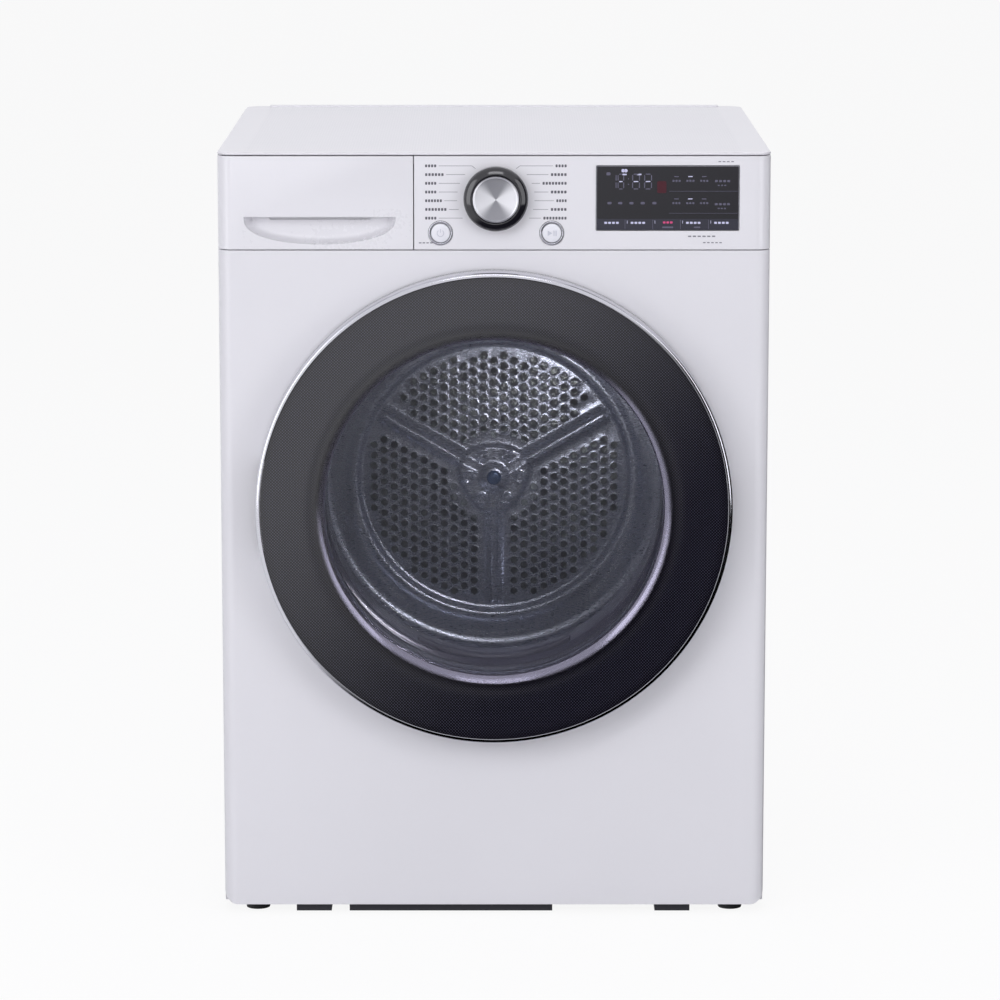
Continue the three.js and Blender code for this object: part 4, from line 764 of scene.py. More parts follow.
gloss_black = finish(
    "gloss_black", (24, 23, 29), 0.13, grain=(0.6, 0.001), tone=0.08, Coat_Weight=0.5, Coat_Roughness=0.05)
ring_outline = smoothed([
    (CAP_RADIUS + 0.3, FRONT - 1), (KNOB_RADIUS - 0.5, FRONT - 1), (KNOB_RADIUS, FRONT - 3),
    (KNOB_RADIUS, KNOB_FRONT + 8), (KNOB_RADIUS - 2.2, KNOB_FRONT + 4.5),
    (CAP_RADIUS + 2, KNOB_FRONT + 2), (CAP_RADIUS + 0.3, KNOB_FRONT + 3), (CAP_RADIUS + 0.3, FRONT - 1),
], 1.4)
knob_ring = weld(build(
    "knob_gloss_ring", *lathe(closed(ring_outline), 96, KNOB_X, KNOB_Z), gloss_black))
settle(knob_ring, "knob", "knob_gloss", "knob_ring")

knob_metal = finish(
    "knob_metal", (206, 206, 211), 0.3, metallic=0.45, grain=(0.4, 0.002), tone=0.03)
tree = knob_metal.node_tree
shader = tree.nodes["Principled BSDF"]
spread = tree.nodes.new("ShaderNodeSeparateXYZ")
tree.links.new(place_node(tree), spread.inputs[0])
# Painted reflection: the cap's base colour runs from grey to near white in four sectors, bright to the left
# and right and dark above and below, standing in for side light off the turned rings. The fine rings add a
# faint ring pattern on top.
knob_x = math_node(tree, "SUBTRACT", spread.outputs["X"], KNOB_X * MM)
knob_z = math_node(tree, "SUBTRACT", spread.outputs["Z"], KNOB_Z * MM)
angle = math_node(tree, "ARCTAN2", knob_z, knob_x)
reflection_sectors = math_node(tree, "COSINE", math_node(tree, "MULTIPLY", angle, 2.0))
radius = math_node(tree, "SQRT", math_node(
    tree, "ADD", math_node(tree, "MULTIPLY", knob_x, knob_x), math_node(tree, "MULTIPLY", knob_z, knob_z)))
rings = math_node(tree, "SINE", math_node(tree, "MULTIPLY", radius, FULL_TURN / (0.5 * MM)))
painted_reflection = ramp_node(tree, reflection_sectors, -0.75, 0.75)
painted_reflection = math_node(tree, "MULTIPLY_ADD", rings, 0.06, painted_reflection)
tree.links.new(
    blend_node(tree, painted_reflection, linear(150, 150, 156), linear(244, 244, 248)), shader.inputs["Base Color"])
cap_outline = smoothed([
    (0, FRONT - 1), (CAP_RADIUS, FRONT - 1), (CAP_RADIUS, KNOB_FRONT + 1.4),
    (CAP_RADIUS - 1.6, KNOB_FRONT), (CAP_RADIUS - 2.4, KNOB_FRONT + 0.5), (0, KNOB_FRONT + 1.4),
], 0.3)
knob_cap = weld(build("knob_metal_cap", *lathe(cap_outline, 96, KNOB_X, KNOB_Z), knob_metal))
settle(knob_cap, "knob", "knob_metal", "knob_cap")

# ---------------------------------------------------------------------------------------------
# Push buttons.
# Each is a slightly domed white key in a thin metal ring, with a plain lit symbol: a broken ring
# with a bar for power, and a triangle beside two bars for start and pause.

chrome = finish("rim_chrome", (205, 205, 212), 0.12, metallic=1.0, grain=(0.5, 0.001), tone=0.03)
button_white = finish(
    "button_white", (236, 236, 242), 0.25, grain=(0.8, 0.003), tone=0.006, Coat_Weight=0.3)
symbol_grey = finish("symbol_grey", (198, 200, 210), 0.4, grain=(0.3, 0.003), tone=0.03)

SYMBOL_FRONT = FRONT - 1.75
symbols = {
    "power": stroke(arc(BUTTONS["power"], BUTTON_Z, 3.6, 125, 415, 20), 0.8)
    + stroke([(BUTTONS["power"], BUTTON_Z + 0.6), (BUTTONS["power"], BUTTON_Z + 4.6)], 0.8),
    "start": [
        [(BUTTONS["start"] - 4.4, BUTTON_Z - 3), (BUTTONS["start"] + 0.6, BUTTON_Z),
         (BUTTONS["start"] - 4.4, BUTTON_Z + 3)],
        bar_outline(BUTTONS["start"] + 2.4, BUTTON_Z, 1.1, 6, 0.2),
        bar_outline(BUTTONS["start"] + 4.6, BUTTON_Z, 1.1, 6, 0.2)],
}
for button, x in BUTTONS.items():
    bezel_outline = smoothed([
        (BUTTON_RADIUS + 0.5, FRONT + 3.5), (BUTTON_RADIUS + 0.5, FRONT - 0.4),
        (BUTTON_RADIUS + 1.0, FRONT - 1), (BEZEL_RADIUS - 0.6, FRONT - 1), (BEZEL_RADIUS, FRONT - 0.4),
        (BEZEL_RADIUS, FRONT + 3.5), (BUTTON_RADIUS + 0.5, FRONT + 3.5)], 0.5)
    bezel = weld(build(f"{button}_button_bezel", *lathe(closed(bezel_outline), 64, x, BUTTON_Z), chrome))
    settle(bezel, "root", "rim_chrome", f"{button}_button_ring")
    key_outline = smoothed([
        (0, FRONT - 1.6), (BUTTON_RADIUS * 0.6, FRONT - 1.5), (BUTTON_RADIUS - 0.5, FRONT - 0.9),
        (BUTTON_RADIUS, FRONT + 0.4), (BUTTON_RADIUS, FRONT + 10), (4, FRONT + 10), (4, FRONT + 15),
        (0, FRONT + 15)], 0.6)
    key = weld(build(f"{button}_button_key", *lathe(key_outline, 64, x, BUTTON_Z), button_white))
    settle(key, f"{button}_key", "button_white", f"{button}_button")
    symbol = flat_marks(f"{button}_button_symbol", symbols[button], symbol_grey, SYMBOL_FRONT, 0.12)
    settle(symbol, f"{button}_key", "button_white")

# ---------------------------------------------------------------------------------------------
# Display window.
# A gloss black panel set flush in the fascia. Lit digits, small pictures and touch marks show
# through it. They are plain segments, dashes and dots.

display_gloss = finish(
    "display_gloss", (27, 26, 32), 0.16, grain=(0.6, 0.001), tone=0.08, Coat_Weight=0.4, Coat_Roughness=0.08)
window = build(
    "display_window_panel",
    *prism(rounded(*WINDOW, (1.3, 1.3, 1.3, 1.3), 4), FRONT, FRONT + 4, "Y"), display_gloss)
round_edges(window, 0.3)
settle(window, "root", "display_gloss", "display_window")


def glow(name, color, strength):
    made = finish(name, color, 0.4, tone=0.03)
    shader = made.node_tree.nodes["Principled BSDF"]
    shader.inputs["Emission Color"].default_value = linear(*color)
    shader.inputs["Emission Strength"].default_value = strength
    return made


glow_bright = glow("display_lit_bright", (178, 178, 204), 0.3)
glow_dim = glow("display_lit_dim", (88, 86, 104), 0.12)
glow_red = glow("display_lit_red", (66, 16, 30), 0.06)
glow_pink = glow("display_lit_pink", (196, 66, 116), 0.2)
strip_tone = finish("display_touch_strip", (46, 46, 58), 0.2, tone=0.05, Coat_Weight=0.4)
border_line = finish("display_border", (150, 150, 158), 0.35, tone=0.03)

DIGIT_Z = 817
DIGITS = ((129.5, 5.0, "bc"), (137.2, 6.0, "abcdefg"), (153.6, 7.4, "abcdefg"), (166.6, 7.4, "abcdefg"))
DIGIT_HEIGHT = 16


def digit(x, width, parts):
    """The bars of a seven-segment digit."""
    half = DIGIT_HEIGHT / 2
    wide = width - 2.2
    places = {
        "a": (0, half, wide, 1.1), "g": (0, 0, wide, 1.1), "d": (0, -half, wide, 1.1),
        "b": (width / 2, half / 2, 1.1, half - 2), "f": (-width / 2, half / 2, 1.1, half - 2),
        "c": (width / 2, -half / 2, 1.1, half - 2), "e": (-width / 2, -half / 2, 1.1, half - 2)}
    return {part: bar_outline(x + places[part][0], DIGIT_Z + places[part][1], *places[part][2:], 0.4)
            for part in parts}


dim = []
bright = []
for x, width, parts in DIGITS:
    for part, outline in digit(x, width, parts).items():
        (bright if part == "g" else dim).append(outline)
dim += [bar_outline(145.4, DIGIT_Z + step, 1.2, 1.2, 0.5) for step in (-3, 3)]
bright += [bar_outline(x, 833 - 8.3, 5.0, 1.6, 0.6) for x in (141, 157)]
bright += [circle(x, 828.8, 1.9, 16) for x in (139.6, 142.6)]
dim += [bar_outline(x, 825.4, 4.6, 3.4, 1.2) for x in (123.8,)]
dim += [bar_outline(x, 793.6, 4.6, 2.6, 1.0) for x in (125, 136.6, 148.8, 161, 173.6)]
for z in (822.4, 798.2):
    for x in (197.4, 212.4, 227.4):
        (bright if x == 212.4 else dim).append(bar_outline(x, z, 5.0, 1.0, 0.4))
        for i in range(3):
            dim.append(bar_outline(x - 3.3 + 3.3 * i, z - 4.6, 2.3, 2.2, 0.7))
for z in (817.5, 792.5):
    dim += [bar_outline(240.6 + 4.4 * i, z, 3.2, 2.4, 0.8) for i in range(4)]
    dim += [bar_outline(243.2 + 3.4 * i, z - 4.6, 2.3, 1.4, 0.6) for i in range(3)]
dim += [bar_outline(226.5, z, 74, 0.35, 0.1) for z in (806.5, 782.6)]
red = [bar_outline(181.5, 811, 10, 13, 1.5)]
pink = [bar_outline(184.4 + 3.8 * i, 772.6, 2.8, 2.3, 0.7) for i in range(3)]
touch_strip = [bar_outline(188, 770.3, 153, 12.2, 0.8)]
for i, x in enumerate((118, 146.5, 176.5, 206.5, 237)):
    if i:
        dim.append(bar_outline(x - 4.6, 770.5, 0.5, 10, 0.1))
        bright.append(bar_outline(x - 2.2, 773.0, 0.5, 3.2, 0.1))
    if i != 2:
        bright += [bar_outline(x + 3 + 4.2 * k, 772.2, 3.1, 2.3, 0.7) for k in range(4)]
dim += [bar_outline(188.2, 767.3, 12, 1.8, 0.6), bar_outline(220, 767.3, 7, 1.6, 0.6)]
for name, outlines, material in (
        ("display_dim_marks", dim, glow_dim), ("display_bright_marks", bright, glow_bright),
        ("display_red_marks", red, glow_red), ("display_pink_marks", pink, glow_pink)):
    settle(flat_marks(name, outlines, material, FRONT - 0.12), "root", "display_gloss")
settle(flat_marks("display_touch_strip", touch_strip, strip_tone), "root", "display_gloss")
border = stroke(closed(rounded(
    WINDOW[0] + 0.5, WINDOW[1] - 0.5, WINDOW[2] + 0.5, WINDOW[3] - 0.5, (1, 1, 1, 1), 3)), 0.5)
settle(flat_marks("display_border_line", border, border_line), "root", "display_gloss")

# ---------------------------------------------------------------------------------------------
# Door ring and tinted cover.
# A bright plated ring holds a domed cover of dark tinted glass. A band of fine printed dots runs
# round the cover near its edge, and its middle is clear enough to see into the drum.

DOOR_RADIUS = 260
RIM_WALL = 3
RIM_FRONT = -322
DOOR_BACK = -288
DOOR_FRONT = -330
COVER_DOME = 8
COVER_EDGE = 254.7
COVER_THICKNESS = 4
BAND_INNER = 208
BAND_OUTER = 243
CLEAR_RADIUS = 189
BEND_RADIUS = 202
BEND_RISE = 0.35
GRIP_HALF_HEIGHT = 50
GRIP_DEPTH = 22
HINGE_X = 250
HINGE_Y = -309
NOTCH_HALF = 31

lip_inside = DOOR_RADIUS - 5
ring_outline = smoothed([
    (DOOR_RADIUS - RIM_WALL, DOOR_BACK), (DOOR_RADIUS, DOOR_BACK), (DOOR_RADIUS, RIM_FRONT + 3),
    (DOOR_RADIUS - 1.5, RIM_FRONT + 0.6), (DOOR_RADIUS - 4, RIM_FRONT), (lip_inside, RIM_FRONT),
    (lip_inside, RIM_FRONT + 3), (DOOR_RADIUS - RIM_WALL, RIM_FRONT + 5),
    (DOOR_RADIUS - RIM_WALL, DOOR_BACK)], 0.9)
door_ring = weld(build("door_outer_ring", *lathe(closed(ring_outline), 144, 0, DOOR_Z), chrome))
grip_cut = rounded(
    -DOOR_RADIUS - 5, -DOOR_RADIUS + GRIP_DEPTH, DOOR_Z - GRIP_HALF_HEIGHT, DOOR_Z + GRIP_HALF_HEIGHT,
    (0, 6, 6, 0), 5)
notch_cut = rounded(
    HINGE_X - 50, DOOR_RADIUS + 5, DOOR_Z - NOTCH_HALF, DOOR_Z + NOTCH_HALF, (3, 0, 0, 3), 4)
carve(door_ring, prism(grip_cut, DOOR_BACK - 20, DOOR_BACK + 1, "Y"))
carve(door_ring, prism(notch_cut, HINGE_Y - 7, DOOR_BACK + 1, "Y"))
settle(door_ring, "door", "rim_chrome", "door_ring")


def door_radius_node(tree):
    """The distance from the door's middle, in metres."""
    spread = tree.nodes.new("ShaderNodeSeparateXYZ")
    tree.links.new(place_node(tree), spread.inputs[0])
    up = math_node(tree, "SUBTRACT", spread.outputs["Z"], DOOR_Z * MM)
    squares = [math_node(tree, "MULTIPLY", side, side) for side in (spread.outputs["X"], up)]
    return math_node(tree, "SQRT", math_node(tree, "ADD", *squares))


tinted_cover = finish(
    "tinted_cover", (9, 7, 13), 0.1, grain=(3.0, 0.002), tone=0.1, Coat_Weight=0.6, Coat_Roughness=0.06)
tree = tinted_cover.node_tree
shader = tree.nodes["Principled BSDF"]
radius = door_radius_node(tree)
dots = add_group(tree, dot_group, Pitch=2.3, Radius=0.3)
band = within(tree, radius, BAND_INNER * MM, BAND_OUTER * MM, 0.022)
printed = math_node(tree, "MULTIPLY", dots.outputs["Dots"], band)
plain = shader.inputs["Base Color"].links[0].from_socket
tree.links.new(blend_node(tree, printed, plain, linear(58, 58, 72)), shader.inputs["Base Color"])
clear = ramp_node(tree, radius, CLEAR_RADIUS * MM, (CLEAR_RADIUS + 7) * MM, 0.13, 1.0)
tree.links.new(clear, shader.inputs["Alpha"])
cover_steps = [0, 60, 110, 150, 175, 185, 190, 193, 196, 198, 200, 202, 204, 206, 208, 211, 215, 225, 240]
cover_steps.append(COVER_EDGE)


def dome(lift):
    """The cover's section: a shallow dome with a soft step round its clear middle."""
    outline = []
    for r in cover_steps:
        step = BEND_RISE / (1 + math.exp((r - BEND_RADIUS) / 2.2))
        outline.append((r, DOOR_FRONT + COVER_DOME * (r / lip_inside) ** 2 + step + lift))
    return outline


cover_outline = dome(0.05) + list(reversed(dome(COVER_THICKNESS)))
door_cover = weld(build("door_tinted_cover", *lathe(cover_outline, 144, 0, DOOR_Z), tinted_cover))
settle(door_cover, "door", "tinted_cover", "door_outer_cover")

# ---------------------------------------------------------------------------------------------
# Door frame, bowl and gasket.
# A dark moulded frame closes the back of the door and clamps a clear glass bowl that fills the
# loading opening. The grey rubber gasket sits on the cabinet and seals against the frame.

FRAME_FRONT = -294
FRAME_BACK = -290
BOWL_RADIUS = 177
BOWL_BACK = -226
GLASS = 4
COLLAR_RADIUS = 187

dark_plastic = finish("dark_plastic", (44, 44, 50), 0.5, grain=(0.7, 0.03), tone=0.06)
frame_hole = BOWL_RADIUS + 8
frame_outline = smoothed([
    (frame_hole, FRAME_FRONT - 4), (frame_hole + 3, FRAME_FRONT - 4), (frame_hole + 3, FRAME_FRONT),
    (DOOR_RADIUS - RIM_WALL - 0.3, FRAME_FRONT), (DOOR_RADIUS - RIM_WALL - 0.3, FRAME_BACK),
    (frame_hole, FRAME_BACK), (frame_hole, FRAME_FRONT - 4)], 1.2)
door_frame = weld(build("door_frame_moulding", *lathe(closed(frame_outline), 128, 0, DOOR_Z), dark_plastic))
carve(door_frame, prism(grip_cut, DOOR_BACK - 20, DOOR_BACK + 1, "Y"))
carve(door_frame, prism(notch_cut, HINGE_Y - 7, DOOR_BACK + 1, "Y"))
settle(door_frame, "door", "dark_plastic", "door_frame")
grip_wall = build(
    "door_grip_wall",
    *prism(rounded(-DOOR_RADIUS + GRIP_DEPTH, -DOOR_RADIUS + GRIP_DEPTH + 3, DOOR_Z - GRIP_HALF_HEIGHT,
                   DOOR_Z + GRIP_HALF_HEIGHT, (1, 1, 1, 1), 3), RIM_FRONT + 8, FRAME_FRONT + 1, "Y"),
    dark_plastic)
settle(round_edges(grip_wall, 0.5), "door", "dark_plastic")

trim_plating = finish(
    "bowl_trim_plating", (164, 161, 182), 0.16, metallic=0.8, grain=(5.0, 0.002), tone=0.04,
    Coat_Weight=0.4, Coat_Roughness=0.08)
trim_outline = smoothed([
    (frame_hole + 14, FRAME_FRONT - 19), (frame_hole + 14, FRAME_FRONT - 24.5),
    (frame_hole + 9, FRAME_FRONT - 22.6), (frame_hole + 2.5, FRAME_FRONT - 18.6),
    (frame_hole, FRAME_FRONT - 16), (frame_hole - 0.4, FRAME_FRONT - 0.2),
    (frame_hole + 2.6, FRAME_FRONT - 0.2), (frame_hole + 4, FRAME_FRONT - 16),
    (frame_hole + 14, FRAME_FRONT - 19)], 1.6, 3)
bowl_trim = weld(build("door_bowl_trim", *lathe(closed(trim_outline), 144, 0, DOOR_Z), trim_plating))
settle(bowl_trim, "door", "dark_plastic")

bowl_glass = finish("bowl_glass", (78, 80, 90), 0.06, grain=(6.0, 0.001), tone=0.05, Coat_Weight=0.3)
bowl_glass.node_tree.nodes["Principled BSDF"].inputs["Alpha"].default_value = 0.12
bowl_outer = smoothed([
    (BOWL_RADIUS + 7, FRAME_FRONT - 2), (BOWL_RADIUS + 2, FRAME_FRONT - 2), (BOWL_RADIUS, FRONT),
    (BOWL_RADIUS - 7, BOWL_BACK - 24), (BOWL_RADIUS - 20, BOWL_BACK - 10),
    (BOWL_RADIUS - 45, BOWL_BACK - 3), (0, BOWL_BACK)], 9, 5)
bowl_inner = smoothed([
    (0, BOWL_BACK - GLASS), (BOWL_RADIUS - 47, BOWL_BACK - GLASS - 3),
    (BOWL_RADIUS - 24, BOWL_BACK - GLASS - 9), (BOWL_RADIUS - 11, BOWL_BACK - GLASS - 22),
    (BOWL_RADIUS - GLASS, FRONT), (BOWL_RADIUS - 2, FRAME_FRONT - 6),
    (BOWL_RADIUS + 7, FRAME_FRONT - 6)], 7, 5)
door_bowl = weld(build(
    "door_glass_bowl", *lathe(closed(bowl_outer + bowl_inner), 128, 0, DOOR_Z), bowl_glass))
settle(door_bowl, "door", "bowl_glass", "door_bowl")

rubber = finish("rubber", (30, 30, 33), 0.75, grain=(0.8, 0.03), tone=0.1)
gasket_outline = smoothed([
    (COLLAR_RADIUS + 2, FRONT + 1.7), (PANEL_HOLE_RADIUS - 1.5, FRONT + 1.7),
    (PANEL_HOLE_RADIUS - 3, FRONT - 2.4), (COLLAR_RADIUS + 3, FRONT - 2.4),
    (COLLAR_RADIUS + 2, FRONT + 1.7)], 1.0)
gasket = weld(build("door_gasket_ring", *lathe(closed(gasket_outline), 128, 0, DOOR_Z), rubber))
settle(gasket, "root", "rubber", "door_gasket")

# ---------------------------------------------------------------------------------------------
# Drum back plate.
# Stainless sheet pressed in one piece: a disc full of drawn holes in three fields, three spokes
# with a double ridge each, and a domed three-lobed hub bolted to the shaft's flange.

DRUM_Z = 400
DISC_FRONT = 263.4
DISC_RADIUS = 160
DRUM_REAR = 266.4
DRUM_RADIUS = 276
DRUM_INSIDE = 274.5
HOLE_PITCH = 13.0
HOLE_RADIUS = 4.4
HOLE_LIP = 5.7
HUB_REACH = 48
SPOKE_HALF = 13
SPOKE_ANGLES = (270, 30, 150)
BOLT_CIRCLE = 31
BOLT_ANGLES = (0, 60, 120, 180, 240, 300)
HUB_RISE = 10

stainless = finish("stainless", (146, 149, 162), 0.3, metallic=0.8, tone=0.05)
tree = stainless.node_tree
shader = tree.nodes["Principled BSDF"]
stretch = tree.nodes.new("ShaderNodeMapping")
stretch.inputs["Scale"].default_value = (160, 160, 1800)
tree.links.new(place_node(tree), stretch.inputs["Vector"])
streaks = noise_node(tree, stretch.outputs[0], 1.0, 2.0)
bump = tree.nodes.new("ShaderNodeBump")
bump.inputs["Distance"].default_value = 0.01 * MM
tree.links.new(streaks, bump.inputs["Height"])
tree.links.new(bump.outputs[0], shader.inputs["Normal"])
tree.links.new(ramp_node(tree, streaks, 0.3, 0.7, 0.24, 0.36), shader.inputs["Roughness"])


def smooth_step(low, high, value):
    share = min(1.0, max(0.0, (value - low) / (high - low)))
    return share * share * (3 - 2 * share)


def spoke_place(x, z, angle):
    """How far along a spoke a point lies and how far across it."""
    c, s = math.cos(math.radians(angle)), math.sin(math.radians(angle))
    return x * c + z * s, -x * s + z * c


def hub_edge(x, z):
    """The hub's radius in the direction of a point: fuller along the spokes."""
    return HUB_REACH - 3 + 3 * math.cos(3 * (math.atan2(z, x) - math.radians(SPOKE_ANGLES[0])))


def press_height(x, z):
    """How far the pressed plate stands out towards the door at a point round its middle."""
    reach = math.hypot(x, z)
    height = 0.0
    for spoke in SPOKE_ANGLES:
        along, across = spoke_place(x, z, spoke)
        if along > 0:
            fade = 1 - smooth_step(DISC_RADIUS - 7, DISC_RADIUS - 1, along)
            flank = 1 - smooth_step(SPOKE_HALF - 4, SPOKE_HALF, abs(across))
            ridge = math.exp(-((abs(across) - 5.5) / 2.0) ** 2)
            height = max(height, (2.0 * flank + 3.4 * ridge * flank) * fade)
    edge = hub_edge(x, z)
    hub = 1 - smooth_step(edge - 6, edge, reach)
    dome = 4.5 + (HUB_RISE - 4.5) * (1 - smooth_step(9, 21, reach))
    height = max(height, hub * dome)
    for bolt in BOLT_ANGLES:
        bx = BOLT_CIRCLE * math.cos(math.radians(bolt))
        bz = BOLT_CIRCLE * math.sin(math.radians(bolt))
        away = math.hypot(x - bx, z - bz)
        height += 1.5 * math.exp(-((away - 6.2) / 1.4) ** 2)
    return height


def hole_places():
    """The centres of the drawn holes, clear of the hub, the spokes and the disc's edge."""
    places = []
    column = HOLE_PITCH * 0.94
    reach = int(DISC_RADIUS / column) + 1
    for i in range(-reach, reach + 1):
        for j in range(-reach, reach + 1):
            x = i * column
            z = (j + 0.5 * (i % 2)) * HOLE_PITCH
            far = math.hypot(x, z)
            if far > DISC_RADIUS - 7.5 or far < hub_edge(x, z) + 6:
                continue
            spokes = [spoke_place(x, z, angle) for angle in SPOKE_ANGLES]
            if any(along > 0 and abs(across) < SPOKE_HALF + 5.5 for along, across in spokes):
                continue
            places.append((x, z))
    return places


def drum_disc():
    """The disc as points and faces: drawn holes, and a fine net over the hub and the spokes."""
    holes = hole_places()
    flats = 14
    points = []
    edges = []
    for x, z in holes:
        start = len(points)
        points += circle(x, z, HOLE_LIP, flats)
        edges += [(start + i, start + (i + 1) % flats) for i in range(flats)]
    start = len(points)
    rim_steps = 144
    points += circle(0, 0, DISC_RADIUS, rim_steps)
    edges += [(start + i, start + (i + 1) % rim_steps) for i in range(rim_steps)]
    step = 1.7
    reach = int(DISC_RADIUS / step)
    for i in range(-reach, reach + 1):
        for j in range(-reach, reach + 1):
            x = i * step
            z = j * step
            far = math.hypot(x, z)
            spokes = [spoke_place(x, z, angle) for angle in SPOKE_ANGLES]
            on_spoke = any(along > 0 and abs(across) < SPOKE_HALF + 0.8 for along, across in spokes)
            if far < DISC_RADIUS - 1 and (far < hub_edge(x, z) + 2 or on_spoke):
                points.append((x, z))
    found, _, faces, *_ = delaunay_2d_cdt([Vector(p) for p in points], edges, [], 1, 1e-5)
    grid = {}
    for x, z in holes:
        grid.setdefault((round(x / 20), round(z / 20)), []).append((x, z))

    def in_hole(x, z):
        near = (round(x / 20), round(z / 20))
        return any(
            math.hypot(x - hx, z - hz) < HOLE_LIP * 0.9
            for a in (-1, 0, 1) for b in (-1, 0, 1)
            for hx, hz in grid.get((near[0] + a, near[1] + b), ()))

    kept = []
    for face in faces:
        middle = sum((found[i] for i in face), Vector((0, 0))) / len(face)
        if not in_hole(middle.x, middle.y):
            kept.append(tuple(face))
    net = [(p.x, DISC_FRONT - press_height(p.x, p.y), DRUM_Z + p.y) for p in found]
    for x, z in holes:
        profile = [(HOLE_LIP, 0.0), (HOLE_LIP - 0.8, -0.15), (HOLE_RADIUS, 0.8), (HOLE_RADIUS - 0.3, 2.0)]
        start = len(net)
        for radius, back in profile:
            net += [(a, DISC_FRONT + back, DRUM_Z + b) for a, b in circle(x, z, radius, flats)]
        for ring in range(len(profile) - 1):
            for i in range(flats):
                a = start + ring * flats + i
                b = start + ring * flats + (i + 1) % flats
                kept.append((a, b, b + flats, a + flats))
    return net, kept


disc = weld(build("drum_perforated_disc", *drum_disc(), stainless, 50), 0.01)
settle(disc, "drum", "stainless")

rim_outline = smoothed([
    (DISC_RADIUS, DISC_FRONT), (DISC_RADIUS + 3, DISC_FRONT - 1), (DISC_RADIUS + 7, DISC_FRONT - 9),
    (DISC_RADIUS + 14, DISC_FRONT - 10), (DISC_RADIUS + 20, DISC_FRONT - 7.5),
    (DISC_RADIUS + 40, DISC_FRONT - 7.5), (DISC_RADIUS + 46, DISC_FRONT - 10.5),
    (DISC_RADIUS + 56, DISC_FRONT - 10.5), (DISC_RADIUS + 62, DISC_FRONT - 8),
    (DRUM_INSIDE - 26, DISC_FRONT - 9), (DRUM_INSIDE - 8, DISC_FRONT - 12),
    (DRUM_INSIDE - 0.8, DISC_FRONT - 24), (DRUM_INSIDE - 0.8, DRUM_REAR)], 4, 4)
plate_rim = weld(build("drum_back_rim", *lathe(rim_outline, 144, 0, DRUM_Z), stainless))
settle(plate_rim, "drum", "stainless", "drum_back_plate")

# The hub's middle has a blue-grey cap over the shaft's end, and a bolt head in each dimple.
cap_blue = finish("shaft_cap", (70, 84, 112), 0.3, metallic=0.6, grain=(0.8, 0.006), tone=0.05)
cap_front = DISC_FRONT - HUB_RISE
shaft_cap = weld(build("drum_shaft_cap", *lathe(smoothed([
    (0, cap_front - 2.4), (6.5, cap_front - 2.2), (8.6, cap_front - 0.6), (9.4, cap_front + 1.2)],
    1.0), 48, 0, DRUM_Z), cap_blue))
settle(shaft_cap, "drum", "stainless")
bolt_points = []
bolt_faces = []
for bolt in BOLT_ANGLES:
    bx = BOLT_CIRCLE * math.cos(math.radians(bolt))
    bz = DRUM_Z + BOLT_CIRCLE * math.sin(math.radians(bolt))
    front = DISC_FRONT - 6.8
    points, faces = lathe([(0, front), (2.6, front + 0.2), (3.4, front + 1.0), (3.6, front + 4)], 12, bx, bz)
    start = len(bolt_points)
    bolt_points += points
    bolt_faces += [tuple(start + i for i in face) for face in faces]
hub_bolts = weld(build("drum_hub_bolts", bolt_points, bolt_faces, stainless))
settle(hub_bolts, "drum", "stainless")

# ---------------------------------------------------------------------------------------------
# Drum shell and lifters.
# A rolled stainless shell with pressed ribs, its front edge turned in. Three dark moulded baffles
# are screwed to it and lift the laundry.

DRUM_FRONT = -146
DRUM_LIP = 36
RIB_HEIGHT = 2.2
RIB_PLACES = (-100, -60, 40, 140, 200)

shell_outer = [(DRUM_RADIUS - 0.2, DRUM_FRONT), (DRUM_RADIUS - 0.2, DRUM_REAR)]
shell_inner = [(DRUM_INSIDE, DRUM_REAR)]
for rib in reversed(RIB_PLACES):
    shell_inner += [(DRUM_INSIDE, rib + 7), (DRUM_INSIDE - RIB_HEIGHT, rib + 3),
                    (DRUM_INSIDE - RIB_HEIGHT, rib - 3), (DRUM_INSIDE, rib - 7)]
shell_inner += [
    (DRUM_INSIDE, DRUM_FRONT + 5), (DRUM_INSIDE - 4, DRUM_FRONT + SHEET),
    (DRUM_RADIUS - DRUM_LIP, DRUM_FRONT + SHEET), (DRUM_RADIUS - DRUM_LIP, DRUM_FRONT),
    (DRUM_RADIUS - 0.2, DRUM_FRONT)]
drum_shell = weld(build(
    "drum_rolled_shell", *lathe(smoothed(shell_outer + shell_inner, 2.5), 128, 0, DRUM_Z), stainless))
settle(drum_shell, "drum", "stainless", "drum_shell")

LIFTER_ANGLES = (-40, 80, 200)
LIFTER_SEAT = 270.6
LIFTER_HEIGHT = 68
LIFTER_FRONT = -130
LIFTER_BACK = 241.4


def lifter_section(shrink):
    """Half-round topped section of a baffle, narrower towards its ends."""
    base = 35.5 * (0.75 + 0.25 * shrink)
    top = LIFTER_HEIGHT * shrink
    side = [(base, 0.3), (base * 0.72, top * 0.35), (base * 0.52, top * 0.75), (base * 0.36, top * 0.92)]
    crown = [(base * 0.18, top * 0.985), (0, top), (-base * 0.18, top * 0.985)]
    return side + crown + [(-x, z) for x, z in reversed(side)]


def lifter_shape(angle):
    """A baffle whose height swells from both ends."""
    stations = 18
    turn = math.radians(angle)
    points = []
    size = len(lifter_section(1.0))
    for i in range(stations + 1):
        share = i / stations
        y = LIFTER_FRONT + (LIFTER_BACK - LIFTER_FRONT) * share
        swell = 0.45 + 0.55 * math.sin(math.pi * min(1.0, max(0.0, 0.06 + share * 0.88))) ** 0.45
        for across, up in lifter_section(min(1.0, swell)):
            z = up - LIFTER_SEAT
            points.append((
                across * math.cos(turn) + z * math.sin(turn), y,
                DRUM_Z - across * math.sin(turn) + z * math.cos(turn)))
    faces = [(a * size + i, a * size + (i + 1) % size, (a + 1) * size + (i + 1) % size, (a + 1) * size + i)
             for a in range(stations) for i in range(size)]
    return points, faces + [tuple(range(size)), tuple(stations * size + i for i in range(size))]


